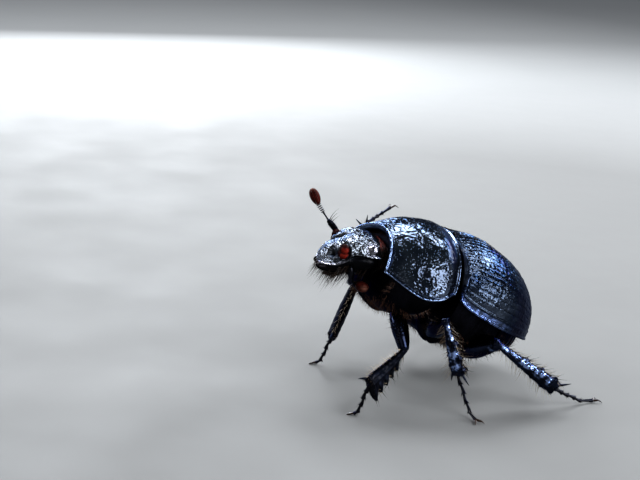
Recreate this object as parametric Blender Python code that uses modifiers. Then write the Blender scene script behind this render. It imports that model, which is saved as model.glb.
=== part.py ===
"""A forest dor beetle, a glossy blue-black dung beetle: a still, life-size model on its own feet.

It climbs with its front raised, its head turned a little to its right, its right antenna up and its
left one folded under the head, and it lifts its right middle leg. Five feet stand on the floor, z = 0.

All sizes are in millimetres. The empty "beetle" scales them to metres. Under it are three frames, each
with +X to the beetle's left, +Y to its tail and +Z up: the floor frame for the legs, the trunk frame,
which is pitched head up with its origin where the pronotum meets the elytra at the height of their side
margins, and the head frame, with its origin at the neck.
"""

import math

import bmesh
import bpy
from mathutils import Euler, Matrix, Vector

MM = 0.001
GAP = 0.06  # clear space between neighbouring pieces
CENTRE = Vector((-0.54, 1.65, 0.0))  # middle of the footprint, which is put at the origin

# Pose
TRUNK_PITCH = 22.0
TRUNK_HEIGHT = 6.9
NECK = Vector((0.0, -4.17, 0.65))
HEAD_YAW, HEAD_PITCH, HEAD_ROLL = 20.0, 13.0, 5.0

# Pronotum
PRONOTUM_FRONT, PRONOTUM_BACK = -4.67, 0.20
PRONOTUM_FRONT_NOTCH, PRONOTUM_BACK_BULGE = 0.41, 0.16
PRONOTUM_FRONT_HALF, PRONOTUM_WIDEST_HALF, PRONOTUM_BACK_HALF = 3.05, 5.00, 4.26
PRONOTUM_FRONT_CROWN, PRONOTUM_CROWN = 2.15, 3.57
PRONOTUM_THICK = 0.40
PRONOTUM_ROUNDNESS = 1.95

# Elytra
ELYTRA_FRONT, ELYTRA_LENGTH = 0.38, 8.54
ELYTRA_HALF_WIDTH, SHOULDER_TAPER = 5.43, 0.13
ELYTRA_CROWN, MARGIN_DROP = 4.80, 1.47
ELYTRA_THICK = 0.45
ELYTRA_TIP_ANGLE = math.radians(84)
SUTURE_GAP = 0.03
SCUTELLUM_HALF_WIDTH, SCUTELLUM_LENGTH, SCUTELLUM_THICK = 0.75, 1.15, 0.32

# Underside
STERNUM_DEPTH, PROSTERNUM_DEPTH = 2.85, 2.05
# Depth of the hind body under the side margin: (share of the elytra's length, depth)
HINDBODY_DEPTHS = [(0.0, 2.80), (0.25, STERNUM_DEPTH), (0.5, 2.50), (0.8, 1.50), (1.0, 0.20)]
# Each left coxa: its place, its radii and its turn in degrees
FRONT_COXA = ((1.35, -2.00, -1.60), (0.95, 0.80, 0.95), (-20, 20, 0))
MIDDLE_COXA = ((1.75, 0.95, -2.75), (1.15, 0.62, 0.75), (0, 25, 18))
HIND_COXA = ((1.85, 3.00, -2.75), (1.45, 0.66, 0.72), (0, 22, -10))
WAIST_Y = 4.3  # where the hind thorax meets the abdomen
ABDOMEN_END = 0.93  # share of the elytra's length

# Cross-sections are between an ellipse, 2, and a box
ROUNDNESS = 2.35

# Head, in its own frame: (forward from the neck, half width, top, bottom, height of the side edge)
HEAD_STATIONS = [
    (-0.75, 1.30, 0.35, -0.80, -0.20),
    (-0.50, 1.62, 0.50, -1.15, -0.15),
    (0.10, 2.16, 0.84, -1.50, -0.12),
    (0.80, 2.28, 0.94, -1.68, -0.15),
    (1.40, 2.25, 0.82, -1.72, -0.25),
    (1.90, 2.28, 0.50, -1.70, -0.58),
    (2.40, 2.00, 0.12, -1.62, -0.90),
    (2.85, 1.55, -0.30, -1.56, -1.10),
    (3.20, 1.05, -0.68, -1.48, -1.20),
    (3.42, 0.55, -0.95, -1.42, -1.26),
]
EYE_PLACE, EYE_RADII = Vector((2.12, -2.12, -0.06)), Vector((0.42, 0.34, 0.48))
EYE_TURN = 12.0
LABRUM_PLACE, LABRUM_RADII = Vector((0.0, -3.10, -1.42)), Vector((0.78, 0.42, 0.22))
MANDIBLE_LINE = [
    (1.55, -1.90, -1.15),
    (1.55, -2.45, -1.32),
    (1.25, -2.98, -1.44),
    (0.82, -3.30, -1.48),
    (0.34, -3.42, -1.50),
]
MANDIBLE_RADII = (0.34, 0.36, 0.33, 0.28, 0.17)
PALP_LINE = [(0.75, -1.60, -1.60), (0.90, -2.10, -1.92), (0.90, -2.55, -2.02), (0.72, -2.95, -1.98)]
PALP_RADII = (0.25, 0.27, 0.25, 0.26)
# Each antenna: places along its bent first joint up to its elbow, the end of its stalk, the tip of its club
RIGHT_ANTENNA = [
    (-2.00, -2.34, -0.80),
    (-2.80, -2.25, -0.75),
    (-3.06, -2.02, 0.02),
    (-2.70, -2.66, 0.72),
    (-3.00, -3.49, 1.62),
    (-3.30, -4.10, 2.55),
]
LEFT_ANTENNA = [
    (1.75, -1.55, -0.72),
    (2.28, -1.48, -1.15),
    (1.80, -1.30, -1.90),
    (0.60, -1.15, -2.22),
    (1.05, -0.62, -2.20),
    (2.10, -0.38, -2.20),
]
STALK_RADIUS = 0.25
CLUB_LENGTH, CLUB_WIDTH, CLUB_THICKNESS = 1.15, 0.72, 0.58

# Legs, in the floor frame: the coxa, the knee, the ankle and the foot, then the way in which the
# tibia's toothed outer edge points.
LEGS = {
    "front_left": (
        (1.50, -2.55, 5.65), (4.06, -3.18, 3.61), (5.72, -6.44, 2.34), (4.72, -6.76, 0.24),
        (0.1, 0.6, -0.8),
    ),
    "front_right": (
        (-1.50, -2.55, 5.65), (-4.41, -2.28, 5.41), (-3.30, -4.38, 2.23), (-4.20, -5.00, 0.24),
        (-0.8, 0.5, -0.3),
    ),
    "middle_left": (
        (2.20, -0.20, 3.70), (5.49, -1.22, 5.86), (5.62, -0.13, 2.21), (8.05, -0.10, 0.24),
        (0.9, 0.5, 0.2),
    ),
    "middle_right": (
        (-2.20, -0.20, 3.70), (-6.00, 0.30, 4.75), (-7.40, -0.32, 8.43), (-8.75, 2.40, 9.14),
        (-0.9, 0.3, -0.4),
    ),
    "hind_left": (
        (2.10, 2.00, 2.60), (6.32, 2.16, 4.22), (7.46, 5.98, 1.22), (7.46, 9.00, 0.24),
        (0.5, 0.3, 0.8),
    ),
    "hind_right": (
        (-2.10, 2.00, 2.60), (-5.95, 2.60, 4.20), (-7.20, 6.20, 1.30), (-7.60, 9.20, 0.24),
        (-0.5, 0.3, 0.8),
    ),
}
FEMUR_WIDTH = {"front": 1.35, "middle": 1.25, "hind": 1.60}
FEMUR_THICKNESS = {"front": 1.00, "middle": 0.90, "hind": 1.05}
TIBIA_WIDTH = {"front": 1.15, "middle": 1.05, "hind": 1.15}
TIBIA_THICKNESS = 0.62
# (share of the length, reach of the outer edge, reach of the inner edge, thickness)
FEMUR_SHAPE = [
    (-0.02, 0.50, 0.50, 0.60),
    (0.20, 0.85, 0.90, 0.90),
    (0.50, 1.00, 1.00, 1.00),
    (0.80, 0.80, 0.75, 0.85),
    (1.00, 0.55, 0.55, 0.70),
    (1.07, 0.32, 0.32, 0.45),
]
TIBIA_SHAPE = [
    (-0.03, 0.42, 0.42, 0.75),
    (0.12, 0.52, 0.50, 0.95),
    (0.50, 0.80, 0.62, 1.00),
    (0.85, 1.08, 0.80, 1.00),
    (1.00, 0.90, 0.72, 0.90),
]
# (count, share of the length at the first, step in that share, size)
TEETH = {
    "front": (5, 0.98, 0.165, 0.74),
    "middle": (3, 0.90, 0.24, 0.42),
    "hind": (3, 0.90, 0.24, 0.42),
}
# Ways in which the spurs point: (along the tibia, towards its toothed edge, towards its flat face)
SPURS = {
    "front": [(0.85, -0.54, 0.0)],
    "middle": [(0.79, 0.61, 0.3), (0.87, -0.49, -0.3)],
    "hind": [(0.45, 0.88, 0.2), (0.80, 0.35, -0.5)],
}
SPUR_LENGTH = {"front": 0.90, "middle": 0.95, "hind": 1.00}
SPUR_RADIUS = 0.18
TARSUS_RADIUS = 0.25
CLAW_LENGTH = 0.60

SHELL_BLACK = ("shell_black", (0.012, 0.014, 0.030), 0.25, 0.35)
LEG_BLACK = ("leg_black", (0.010, 0.012, 0.024), 0.32, 0.25)
EYE_RED = ("eye_red", (0.230, 0.030, 0.018), 0.20, 0.0)
CLUB_RED = ("club_red", (0.120, 0.020, 0.014), 0.55, 0.0)


# Scene helpers


def clear_scene():
    for obj in list(bpy.data.objects):
        bpy.data.objects.remove(obj, do_unlink=True)


def collection(name):
    made = bpy.data.collections.new(name)
    bpy.context.scene.collection.children.link(made)
    return made


def material(name, colour, roughness, metallic):
    found = bpy.data.materials.get(name)
    if found:
        return found
    made = bpy.data.materials.new(name)
    made.use_nodes = True
    shader = made.node_tree.nodes["Principled BSDF"]
    shader.inputs["Base Color"].default_value = (*colour, 1.0)
    shader.inputs["Roughness"].default_value = roughness
    shader.inputs["Metallic"].default_value = metallic
    return made


def frame_empty(name, parent=None, location=(0, 0, 0), rotation=(0, 0, 0)):
    empty = bpy.data.objects.new(name, None)
    PARTS.objects.link(empty)
    empty.parent = parent
    empty.location = location
    empty.rotation_euler = rotation
    return empty


def piece(name, bm, frame, finish):
    """A named object of this mesh in one of the three frames, shaded smooth with its sharp edges kept."""
    mesh = bpy.data.meshes.new(name)
    if all(edge.is_manifold for edge in bm.edges):
        bmesh.ops.recalc_face_normals(bm, faces=bm.faces)
    bm.to_mesh(mesh)
    bm.free()
    obj = bpy.data.objects.new(name, mesh)
    PARTS.objects.link(obj)
    obj.parent = frame
    mesh.materials.append(material(*finish))
    mesh.shade_smooth()
    mesh.set_sharp_from_angle(angle=math.radians(40))
    return obj


def evaluated(obj):
    """The object's mesh with its modifiers applied, in its own frame."""
    bpy.context.view_layer.update()
    graph = bpy.context.evaluated_depsgraph_get()
    return bpy.data.meshes.new_from_object(obj.evaluated_get(graph), depsgraph=graph)


def apply_modifiers(obj):
    mesh = evaluated(obj)
    obj.modifiers.clear()
    obj.data = mesh


def boolean(obj, other, operation):
    made = obj.modifiers.new(operation.lower(), "BOOLEAN")
    made.operation = operation
    made.solver = "EXACT"
    made.use_self = True
    made.object = other
    apply_modifiers(obj)


def swollen_copy(obj, by):
    """A cutter of the object's shape, grown by this distance all round."""
    mesh = evaluated(obj)
    bm = bmesh.new()
    bm.from_mesh(mesh)
    bmesh.ops.remove_doubles(bm, verts=bm.verts, dist=1e-4)
    bm.normal_update()
    moves = [v.normal * by for v in bm.verts]
    for v, move in zip(bm.verts, moves):
        v.co += move
    bm.to_mesh(mesh)
    bm.free()
    cutter = bpy.data.objects.new(obj.name + "_cutter", mesh)
    CUTTERS.objects.link(cutter)
    cutter.parent = obj.parent
    cutter.hide_render = True
    cutter.display_type = "WIRE"
    return cutter


def seat(inner, *outers):
    """Cuts a socket for the inner piece, with the gap round it, into each of the outer pieces."""
    cutter = swollen_copy(inner, GAP)
    for outer in outers:
        boolean(outer, cutter, "DIFFERENCE")
        drop_chips(outer)


def drop_chips(obj):
    """Keeps the largest body of the object's mesh."""
    bm = bmesh.new()
    bm.from_mesh(obj.data)
    bodies = []
    left = set(bm.verts)
    while left:
        body, edge = set(), [left.pop()]
        while edge:
            vert = edge.pop()
            body.add(vert)
            linked = [e.other_vert(vert) for e in vert.link_edges]
            edge += [other for other in linked if other in left]
            left.difference_update(linked)
        bodies.append(body)
    bodies.sort(key=len)
    for body in bodies[:-1]:
        bmesh.ops.delete(bm, geom=list(body), context="VERTS")
    bm.to_mesh(obj.data)
    bm.free()


def join(obj, *others):
    """Makes the others part of the object by a Boolean union, and removes them."""
    for other in others:
        boolean(obj, other, "UNION")
        bpy.data.objects.remove(other, do_unlink=True)


# Shapes


def sample(rows, at):
    """A smooth curve through rows of numbers, read where the first of them is `at`."""
    keys = [row[0] for row in rows]
    i = max(0, min(len(rows) - 2, sum(key <= at for key in keys) - 1))
    t = (at - keys[i]) / (keys[i + 1] - keys[i])
    before, after = rows[max(i - 1, 0)], rows[min(i + 2, len(rows) - 1)]
    values = []
    for p0, p1, p2, p3 in zip(before[1:], rows[i][1:], rows[i + 1][1:], after[1:]):
        square = 2 * p0 - 5 * p1 + 4 * p2 - p3
        cube = 3 * p1 - p0 - 3 * p2 + p3
        values.append(0.5 * (2 * p1 + (p2 - p0) * t + square * t**2 + cube * t**3))
    return values


def rounded(angle, power=ROUNDNESS):
    """(across, up) on a unit cross-section: the crown is at 0 and the side at 90 degrees."""
    across, up = math.sin(angle), math.cos(angle)
    return (
        math.copysign(abs(across) ** (2 / power), across),
        math.copysign(abs(up) ** (2 / power), up),
    )


def shell(name, across, along, surface, thickness, frame):
    """A plate: a grid laid on surface(s, t), with s across and t along from 0 to 1, thickened inwards."""
    bm = bmesh.new()
    bmesh.ops.create_grid(bm, x_segments=across, y_segments=along, size=0.5)
    for v in bm.verts:
        v.co = surface(v.co.x + 0.5, v.co.y + 0.5)
    bm.normal_update()
    if sum(face.normal.z for face in bm.faces) < 0:
        bmesh.ops.reverse_faces(bm, faces=bm.faces)
    obj = piece(name, bm, frame, SHELL_BLACK)
    wall = obj.modifiers.new("wall", "SOLIDIFY")
    wall.thickness = thickness
    wall.offset = -1
    apply_modifiers(obj)
    return obj


def loft(rings):
    """A closed body through rings of the same number of points."""
    bm = bmesh.new()
    loops = [[bm.verts.new(point) for point in ring] for ring in rings]
    for ring, following in zip(loops, loops[1:]):
        for i in range(len(ring)):
            j = (i + 1) % len(ring)
            bm.faces.new((ring[i], ring[j], following[j], following[i]))
    bm.faces.new(loops[0])
    bm.faces.new(reversed(loops[-1]))
    return bm


def trunk_ring(y, half, crown, depth, margin, power=ROUNDNESS, sides=20):
    """A trunk cross-section: the crown is above the side margin's height, and the belly below it."""
    ring = []
    for i in range(sides):
        across, up = rounded(2 * math.pi * i / sides, power)
        ring.append((half * across, y, margin + (crown if up > 0 else depth) * up))
    return ring


def ellipsoid(place, radii, turn=(0, 0, 0)):
    bm = bmesh.new()
    bmesh.ops.create_uvsphere(bm, u_segments=10, v_segments=6, radius=1.0)
    scale = Matrix.Diagonal((*radii, 1.0))
    turned = Euler([math.radians(a) for a in turn]).to_matrix().to_4x4()
    bmesh.ops.transform(bm, verts=bm.verts, matrix=Matrix.Translation(place) @ turned @ scale)
    return bm


def limb_axes(start, end, outward):
    """The unit vectors along a limb, towards its outer edge, and square to both."""
    along = (end - start).normalized()
    edge = (outward - outward.dot(along) * along).normalized()
    return along, edge, along.cross(edge)


def limb(start, end, outward, rows, width, thickness, rings=7, sides=10):
    """A leg segment from rows of (share of its length, edge towards outward, other edge, thickness)."""
    along, edge, flat = limb_axes(start, end, outward)
    length = (end - start).length
    loops = []
    for i in range(rings):
        share = rows[0][0] + (rows[-1][0] - rows[0][0]) * i / (rings - 1)
        outer, inner, thick = sample(rows, share)
        middle = start + along * length * share
        loop = []
        for k in range(sides):
            across, up = rounded(2 * math.pi * k / sides, 2.2)
            reach = (outer if across > 0 else inner) * width / 2
            loop.append(middle + edge * reach * across + flat * up * thick * thickness / 2)
        loops.append(loop)
    return loft(loops)


def tapered_tube(name, points, radii, frame, finish, sides_setting=2):
    """A tube through the points whose radius changes from point to point, as a mesh with welded caps."""
    data = bpy.data.curves.new(name, "CURVE")
    data.dimensions = "3D"
    data.bevel_depth = 1.0
    data.bevel_resolution = sides_setting
    data.use_fill_caps = True
    spline = data.splines.new("POLY")
    spline.points.add(len(points) - 1)
    for point, place, radius in zip(spline.points, points, radii):
        point.co = (*place, 1.0)
        point.radius = radius
    guide = bpy.data.objects.new(name + "_line", data)
    PARTS.objects.link(guide)
    mesh = evaluated(guide)
    bpy.data.objects.remove(guide, do_unlink=True)
    bm = bmesh.new()
    bm.from_mesh(mesh)
    bmesh.ops.remove_doubles(bm, verts=bm.verts, dist=1e-4)
    return piece(name, bm, frame, finish)


# Trunk


def elytra_half_width(u):
    return ELYTRA_HALF_WIDTH * max(0.0, 1 - u**2.25) ** 0.566 * (1 - SHOULDER_TAPER * (1 - u) ** 2.5)


def elytra_margin(u):
    return 0.1 - MARGIN_DROP * u**0.42


def elytra_crown(u):
    return ELYTRA_CROWN * max(0.0, 1 - u**2.84) ** 0.535 * (1 - 0.17 * (1 - u) ** 3 - 0.15 * (1 - u) ** 10)


def elytron_surface(side):
    def surface(s, t):
        u = math.sin(t * ELYTRA_TIP_ANGLE)
        across, up = rounded(s * math.pi / 2)
        x = SUTURE_GAP + (elytra_half_width(u) - SUTURE_GAP) * across
        y = ELYTRA_FRONT + ELYTRA_LENGTH * u - PRONOTUM_BACK_BULGE * (1 - u) * across**2
        return Vector((side * x, y, elytra_margin(u) + elytra_crown(u) * up))

    return surface


def pronotum_half_width(t):
    widths = [
        (0.0, PRONOTUM_FRONT_HALF),
        (0.35, 0.865 * PRONOTUM_WIDEST_HALF),
        (0.70, PRONOTUM_WIDEST_HALF),
        (1.0, PRONOTUM_BACK_HALF),
    ]
    return sample(widths, t)[0]


def pronotum_margin(t):
    return sample([(0.0, -0.25), (0.5, -0.82), (1.0, 0.02)], t)[0]


def pronotum_crown(t):
    rise = math.sin(min(1.0, t / 0.8) * math.pi / 2)
    dip = 0.12 * max(0.0, t - 0.8) / 0.2
    top = PRONOTUM_FRONT_CROWN + (PRONOTUM_CROWN - PRONOTUM_FRONT_CROWN) * rise - dip
    return top - pronotum_margin(t)


def pronotum_surface(s, t):
    across, up = rounded((2 * s - 1) * math.pi / 2, PRONOTUM_ROUNDNESS)
    front = PRONOTUM_FRONT + PRONOTUM_FRONT_NOTCH * (1 - across**2)
    back = PRONOTUM_BACK - PRONOTUM_BACK_BULGE * across**2
    y = front + (back - front) * t
    return Vector((pronotum_half_width(t) * across, y, pronotum_margin(t) + pronotum_crown(t) * up))


def coxa(side, place, radii, turn):
    """The rounded first joint of a leg, on the left for side 1 and on the right for side -1."""
    x, y, z = place
    tip, lean, swing = turn
    shape = ellipsoid(Vector((side * x, y, z)), radii, (tip, side * lean, side * swing))
    return piece("coxa", shape, TRUNK, LEG_BLACK)


def make_prothorax():
    """The front trunk under the pronotum, with the swellings that hold the front coxae."""
    inset = PRONOTUM_THICK + GAP
    rings = []
    for t in (0.17, 0.4, 0.6, 0.8, 0.95):
        y = PRONOTUM_FRONT + (PRONOTUM_BACK - PRONOTUM_FRONT) * t
        depth = PROSTERNUM_DEPTH * (0.72 + 0.28 * math.sin(math.pi * min(1.0, t * 0.75)))
        half = min(pronotum_half_width(t), pronotum_half_width(min(1.0, t + 0.1))) - inset - 0.08
        crown = min(pronotum_crown(t), pronotum_crown(max(0.0, t - 0.1))) - inset - 0.1
        rings.append(trunk_ring(y, half, crown, depth, pronotum_margin(t), PRONOTUM_ROUNDNESS))
    body = piece("prothorax", loft(rings), TRUNK, SHELL_BLACK)
    for side in (1, -1):
        join(body, coxa(side, *FRONT_COXA))
    return body


def hindbody_ring(u):
    """A cross-section of the body that the wing cases cover, clear of their inner faces."""
    inset = ELYTRA_THICK + GAP
    ahead = u + inset / ELYTRA_LENGTH
    depth = sample(HINDBODY_DEPTHS, u)[0]
    half = max(0.15, min(elytra_half_width(u), elytra_half_width(ahead)) - inset)
    crown = max(0.10, min(elytra_crown(u), elytra_crown(ahead)) - inset)
    return trunk_ring(ELYTRA_FRONT + ELYTRA_LENGTH * u, half, crown, depth, elytra_margin(u))


def make_hind_thorax():
    """The middle and hind thorax under the front of the elytra, with the middle and hind coxae."""
    end = (WAIST_Y - ELYTRA_FRONT) / ELYTRA_LENGTH
    rings = [hindbody_ring(end * i / 4) for i in range(5)]
    body = piece("hind_thorax", loft(rings), TRUNK, SHELL_BLACK)
    for side in (1, -1):
        join(body, coxa(side, *MIDDLE_COXA), coxa(side, *HIND_COXA))
    return body


def make_abdomen():
    start = (WAIST_Y + GAP - ELYTRA_FRONT) / ELYTRA_LENGTH
    rings = []
    for share in (0.0, 0.2, 0.4, 0.58, 0.74, 0.86, 0.95, 1.0):
        rings.append(hindbody_ring(start + (ABDOMEN_END - start) * share))
    return piece("abdomen", loft(rings), TRUNK, SHELL_BLACK)


def make_elytra():
    """The two wing cases, with the notch at their front that the scutellum fills."""
    half_width, length = SCUTELLUM_HALF_WIDTH + GAP, SCUTELLUM_LENGTH + 2 * GAP
    cutter = scutellum_block("scutellum_cutter", half_width, length, 2.0, 5.0)
    PARTS.objects.unlink(cutter)
    CUTTERS.objects.link(cutter)
    cutter.hide_render = True
    cutter.display_type = "WIRE"
    for name, side in (("elytron_left", 1), ("elytron_right", -1)):
        case = shell(name, 9, 12, elytron_surface(side), ELYTRA_THICK, TRUNK)
        boolean(case, cutter, "DIFFERENCE")


def scutellum_block(name, half_width, length, bottom, top):
    """A shield-shaped block, its straight edge to the front."""
    outline = [
        (-half_width, ELYTRA_FRONT - GAP),
        (half_width, ELYTRA_FRONT - GAP),
        (0.62 * half_width, ELYTRA_FRONT + 0.62 * length),
        (0.0, ELYTRA_FRONT + length),
        (-0.62 * half_width, ELYTRA_FRONT + 0.62 * length),
    ]
    return piece(name, loft([[(x, y, z) for x, y in outline] for z in (bottom, top)]), TRUNK, SHELL_BLACK)


def make_scutellum():
    top = elytra_margin(0.0) + elytra_crown(0.0) + 0.02
    return scutellum_block("scutellum", SCUTELLUM_HALF_WIDTH, SCUTELLUM_LENGTH, top - SCUTELLUM_THICK, top)


# Head


def make_head():
    rings = []
    for forward, half, top, bottom, edge in HEAD_STATIONS:
        ring = []
        for i in range(18):
            across, up = rounded(2 * math.pi * i / 18)
            ring.append((half * across, -forward, edge + ((top - edge) if up > 0 else (edge - bottom)) * up))
        rings.append(ring)
    return piece("head", loft(rings), HEAD, SHELL_BLACK)


def make_eyes(head):
    for name, side in (("eye_left", 1), ("eye_right", -1)):
        place = Vector((side * EYE_PLACE.x, EYE_PLACE.y, EYE_PLACE.z))
        seat(piece(name, ellipsoid(place, EYE_RADII, (0, side * EYE_TURN, 0)), HEAD, EYE_RED), head)


def make_mouth(head):
    """The labrum under the clypeus, the two mandibles, and the palps below them."""
    labrum = piece("labrum", ellipsoid(LABRUM_PLACE, LABRUM_RADII), HEAD, SHELL_BLACK)
    for name, side in (("left", 1), ("right", -1)):
        line = [Vector((side * x, y, z)) for x, y, z in MANDIBLE_LINE]
        jaw = tapered_tube("mandible_" + name, line, MANDIBLE_RADII, HEAD, SHELL_BLACK, 1)
        seat(jaw, head, labrum)
        line = [Vector((side * x, y, z)) for x, y, z in PALP_LINE]
        seat(tapered_tube("palp_" + name, line, PALP_RADII, HEAD, LEG_BLACK, 1), head)
    seat(labrum, head)


def make_antenna(name, line, head):
    """A jointed stalk and a three-leaved club, along the antenna's line."""
    *first_joint, elbow, neck, tip = (Vector(place) for place in line)
    places = first_joint + [elbow.lerp(neck, i / 6) for i in range(7)]
    swells = [0.84] * (len(first_joint) - 1) + [1.0, 1.08, 0.84, 1.0, 0.84, 1.0, 0.84, 1.0]
    radii = [STALK_RADIUS * swell for swell in swells]
    stalk = tapered_tube("antenna_stalk_" + name, places, radii, HEAD, LEG_BLACK, 1)
    along, edge, square = limb_axes(neck, tip, Vector((1, 0, 0)))
    bm = ellipsoid(Vector((0, 0, 0)), (1, 1, 1))
    for v in bm.verts:
        v.co.x *= 1 + 0.25 * v.co.z
    size = Matrix.Diagonal((CLUB_WIDTH / 2, CLUB_THICKNESS / 2, CLUB_LENGTH / 2, 1))
    shape = Matrix((edge, square, along)).transposed().to_4x4() @ size
    bmesh.ops.transform(bm, verts=bm.verts, matrix=Matrix.Translation((neck + tip) / 2) @ shape)
    seat(piece("antenna_club_" + name, bm, HEAD, CLUB_RED), stalk)
    seat(stalk, head)


# Legs


def cone(start, bend, tip, thick, thin=0.04):
    return tapered_tube("cone", [start, bend, tip], [thick, thick * 0.75, thin], FLOOR, LEG_BLACK, 0)


def add_teeth(tibia, kind, knee, ankle, outward):
    along, edge, _ = limb_axes(knee, ankle, outward)
    count, first, step, size = TEETH[kind]
    for i in range(count):
        share = first - step * i
        reach = size * (1 - 0.6 * i / count)
        base = knee.lerp(ankle, share) + edge * 0.1
        tip = base + edge * (TIBIA_WIDTH[kind] * (0.2 + 0.24 * share) + reach * 0.75) + along * reach * 0.4
        join(tibia, cone(base - along * 0.05, base.lerp(tip, 0.55), tip, 0.27))


def add_spurs(tibia, kind, knee, ankle, outward):
    along, edge, flat = limb_axes(knee, ankle, outward)
    for ahead, out, lean in SPURS[kind]:
        start = ankle - along * 0.25 + edge * math.copysign(0.28, out)
        way = (along * ahead + edge * out + flat * lean).normalized() * SPUR_LENGTH[kind]
        join(tibia, cone(start - way * 0.2, start + way * 0.4, start + way, SPUR_RADIUS))


def tarsus_tube(name, ankle, foot, lifted):
    """Five short joints in a row. On a standing leg the last one lies on the floor."""
    heel = foot.lerp(ankle, 0.32)
    if not lifted:
        heel.z = foot.z + (ankle.z - foot.z) * 0.11
    line, radii = [], []
    for i in range(4):
        for step, swell in ((0.06, 0.78), (0.86, 1.12)):
            line.append(ankle.lerp(heel, (i + step) / 4))
            radii.append(TARSUS_RADIUS * swell)
    line += [heel.lerp(foot, 0.1), heel.lerp(foot, 0.75), foot]
    radii += [TARSUS_RADIUS * 0.8, TARSUS_RADIUS * 1.1, TARSUS_RADIUS * 0.9]
    return tapered_tube(name, line, radii, FLOOR, LEG_BLACK, 1), (foot - heel).normalized()


def add_claws(tarsus, foot, along, lifted):
    sideways = along.cross(Vector((0, 0, 1))).normalized()
    down = along.cross(sideways)
    for way in (1, -1):
        bend = foot + along * CLAW_LENGTH * 0.45 + sideways * way * 0.22
        tip = foot + along * CLAW_LENGTH * 0.85 + sideways * way * 0.34 + down * (0.25 if lifted else 0.06)
        join(tarsus, cone(foot - along * 0.12, bend, tip, 0.17))


def stand_flat(obj):
    """Cuts off what lies under the floor, which leaves a small flat sole."""
    bm = bmesh.new()
    bm.from_mesh(obj.data)
    geometry = bm.verts[:] + bm.edges[:] + bm.faces[:]
    floor, down = (0, 0, 0), (0, 0, -1)
    cut = bmesh.ops.bisect_plane(
        bm, geom=geometry, dist=1e-5, plane_co=floor, plane_no=down, clear_outer=True
    )
    rim = [edge for edge in cut["geom_cut"] if isinstance(edge, bmesh.types.BMEdge)]
    bmesh.ops.edgeloop_fill(bm, edges=rim)
    bm.to_mesh(obj.data)
    bm.free()


def make_leg(leg, joints, holder):
    """A femur seated in the trunk, a tibia seated in the femur and a tarsus seated in the tibia."""
    kind = leg.split("_")[0]
    coxa, knee, ankle, foot, outward = (Vector(joint) for joint in joints)
    lifted = foot.z > 1.0
    femur = limb(coxa, knee, outward, FEMUR_SHAPE, FEMUR_WIDTH[kind], FEMUR_THICKNESS[kind])
    femur = piece("femur_" + leg, femur, FLOOR, LEG_BLACK)
    seat(femur, holder)
    tibia = limb(knee, ankle, outward, TIBIA_SHAPE, TIBIA_WIDTH[kind], TIBIA_THICKNESS)
    tibia = piece("tibia_" + leg, tibia, FLOOR, LEG_BLACK)
    seat(tibia, femur)
    add_teeth(tibia, kind, knee, ankle, outward)
    add_spurs(tibia, kind, knee, ankle, outward)
    tarsus, along = tarsus_tube("tarsus_" + leg, ankle, foot, lifted)
    seat(tarsus, tibia)
    add_claws(tarsus, foot, along, lifted)
    if not lifted:
        stand_flat(tarsus)


clear_scene()
PARTS = collection("dung_beetle")
CUTTERS = collection("cutters")
FLOOR = frame_empty("beetle", location=-CENTRE * MM)
FLOOR.scale = (MM, MM, MM)
TRUNK = frame_empty("trunk", FLOOR, (0, 0, TRUNK_HEIGHT), (math.radians(-TRUNK_PITCH), 0, 0))
HEAD = frame_empty(
    "head_frame", TRUNK, NECK, (math.radians(HEAD_PITCH), math.radians(HEAD_ROLL), math.radians(-HEAD_YAW))
)
bpy.context.view_layer.update()

pronotum = shell("pronotum", 16, 8, pronotum_surface, PRONOTUM_THICK, TRUNK)
prothorax = make_prothorax()
hind_thorax = make_hind_thorax()
make_abdomen()
make_elytra()
make_scutellum()

head = make_head()
seat(head, prothorax, pronotum)
make_eyes(head)
make_mouth(head)
make_antenna("right", RIGHT_ANTENNA, head)
make_antenna("left", LEFT_ANTENNA, head)

for leg_name, leg_joints in LEGS.items():
    make_leg(leg_name, leg_joints, prothorax if leg_name.startswith("front") else hind_thorax)
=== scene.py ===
import math
import random

import bpy
from mathutils import Euler, Matrix, Vector, noise


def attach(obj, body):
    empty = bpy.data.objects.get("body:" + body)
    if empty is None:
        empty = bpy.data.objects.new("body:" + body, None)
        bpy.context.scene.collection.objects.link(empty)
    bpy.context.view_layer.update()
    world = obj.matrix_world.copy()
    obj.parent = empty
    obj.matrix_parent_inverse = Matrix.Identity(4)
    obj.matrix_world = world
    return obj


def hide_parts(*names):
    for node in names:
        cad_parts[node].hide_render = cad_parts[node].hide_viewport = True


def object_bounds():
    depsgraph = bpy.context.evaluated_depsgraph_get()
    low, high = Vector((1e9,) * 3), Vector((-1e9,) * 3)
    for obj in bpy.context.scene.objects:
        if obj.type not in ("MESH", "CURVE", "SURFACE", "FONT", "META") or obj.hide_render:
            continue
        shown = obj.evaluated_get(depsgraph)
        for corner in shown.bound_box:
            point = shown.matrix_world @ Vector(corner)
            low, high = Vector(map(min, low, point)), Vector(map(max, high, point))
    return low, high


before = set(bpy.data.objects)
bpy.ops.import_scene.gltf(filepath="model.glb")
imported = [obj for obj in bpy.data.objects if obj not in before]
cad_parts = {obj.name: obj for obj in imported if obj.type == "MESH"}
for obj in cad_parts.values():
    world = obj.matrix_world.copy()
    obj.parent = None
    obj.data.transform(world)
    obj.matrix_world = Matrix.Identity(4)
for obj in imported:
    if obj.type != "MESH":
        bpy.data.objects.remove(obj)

# A forest dor beetle as a life-size museum model: shell plates, limbs, feelers, eyes and bristles.
#
# Each piece is shaped in millimetres in one of three frames and then put in its place in metres. The floor
# frame holds the legs, the trunk frame is pitched head up with its origin where the pronotum meets the wing
# cases, and the head frame has its origin at the neck. In all of them +X is the beetle's left, +Y its tail
# and +Z up.

CAD_BOX = [list(corner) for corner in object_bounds()]
RANDOM = random.Random(7)

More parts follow.
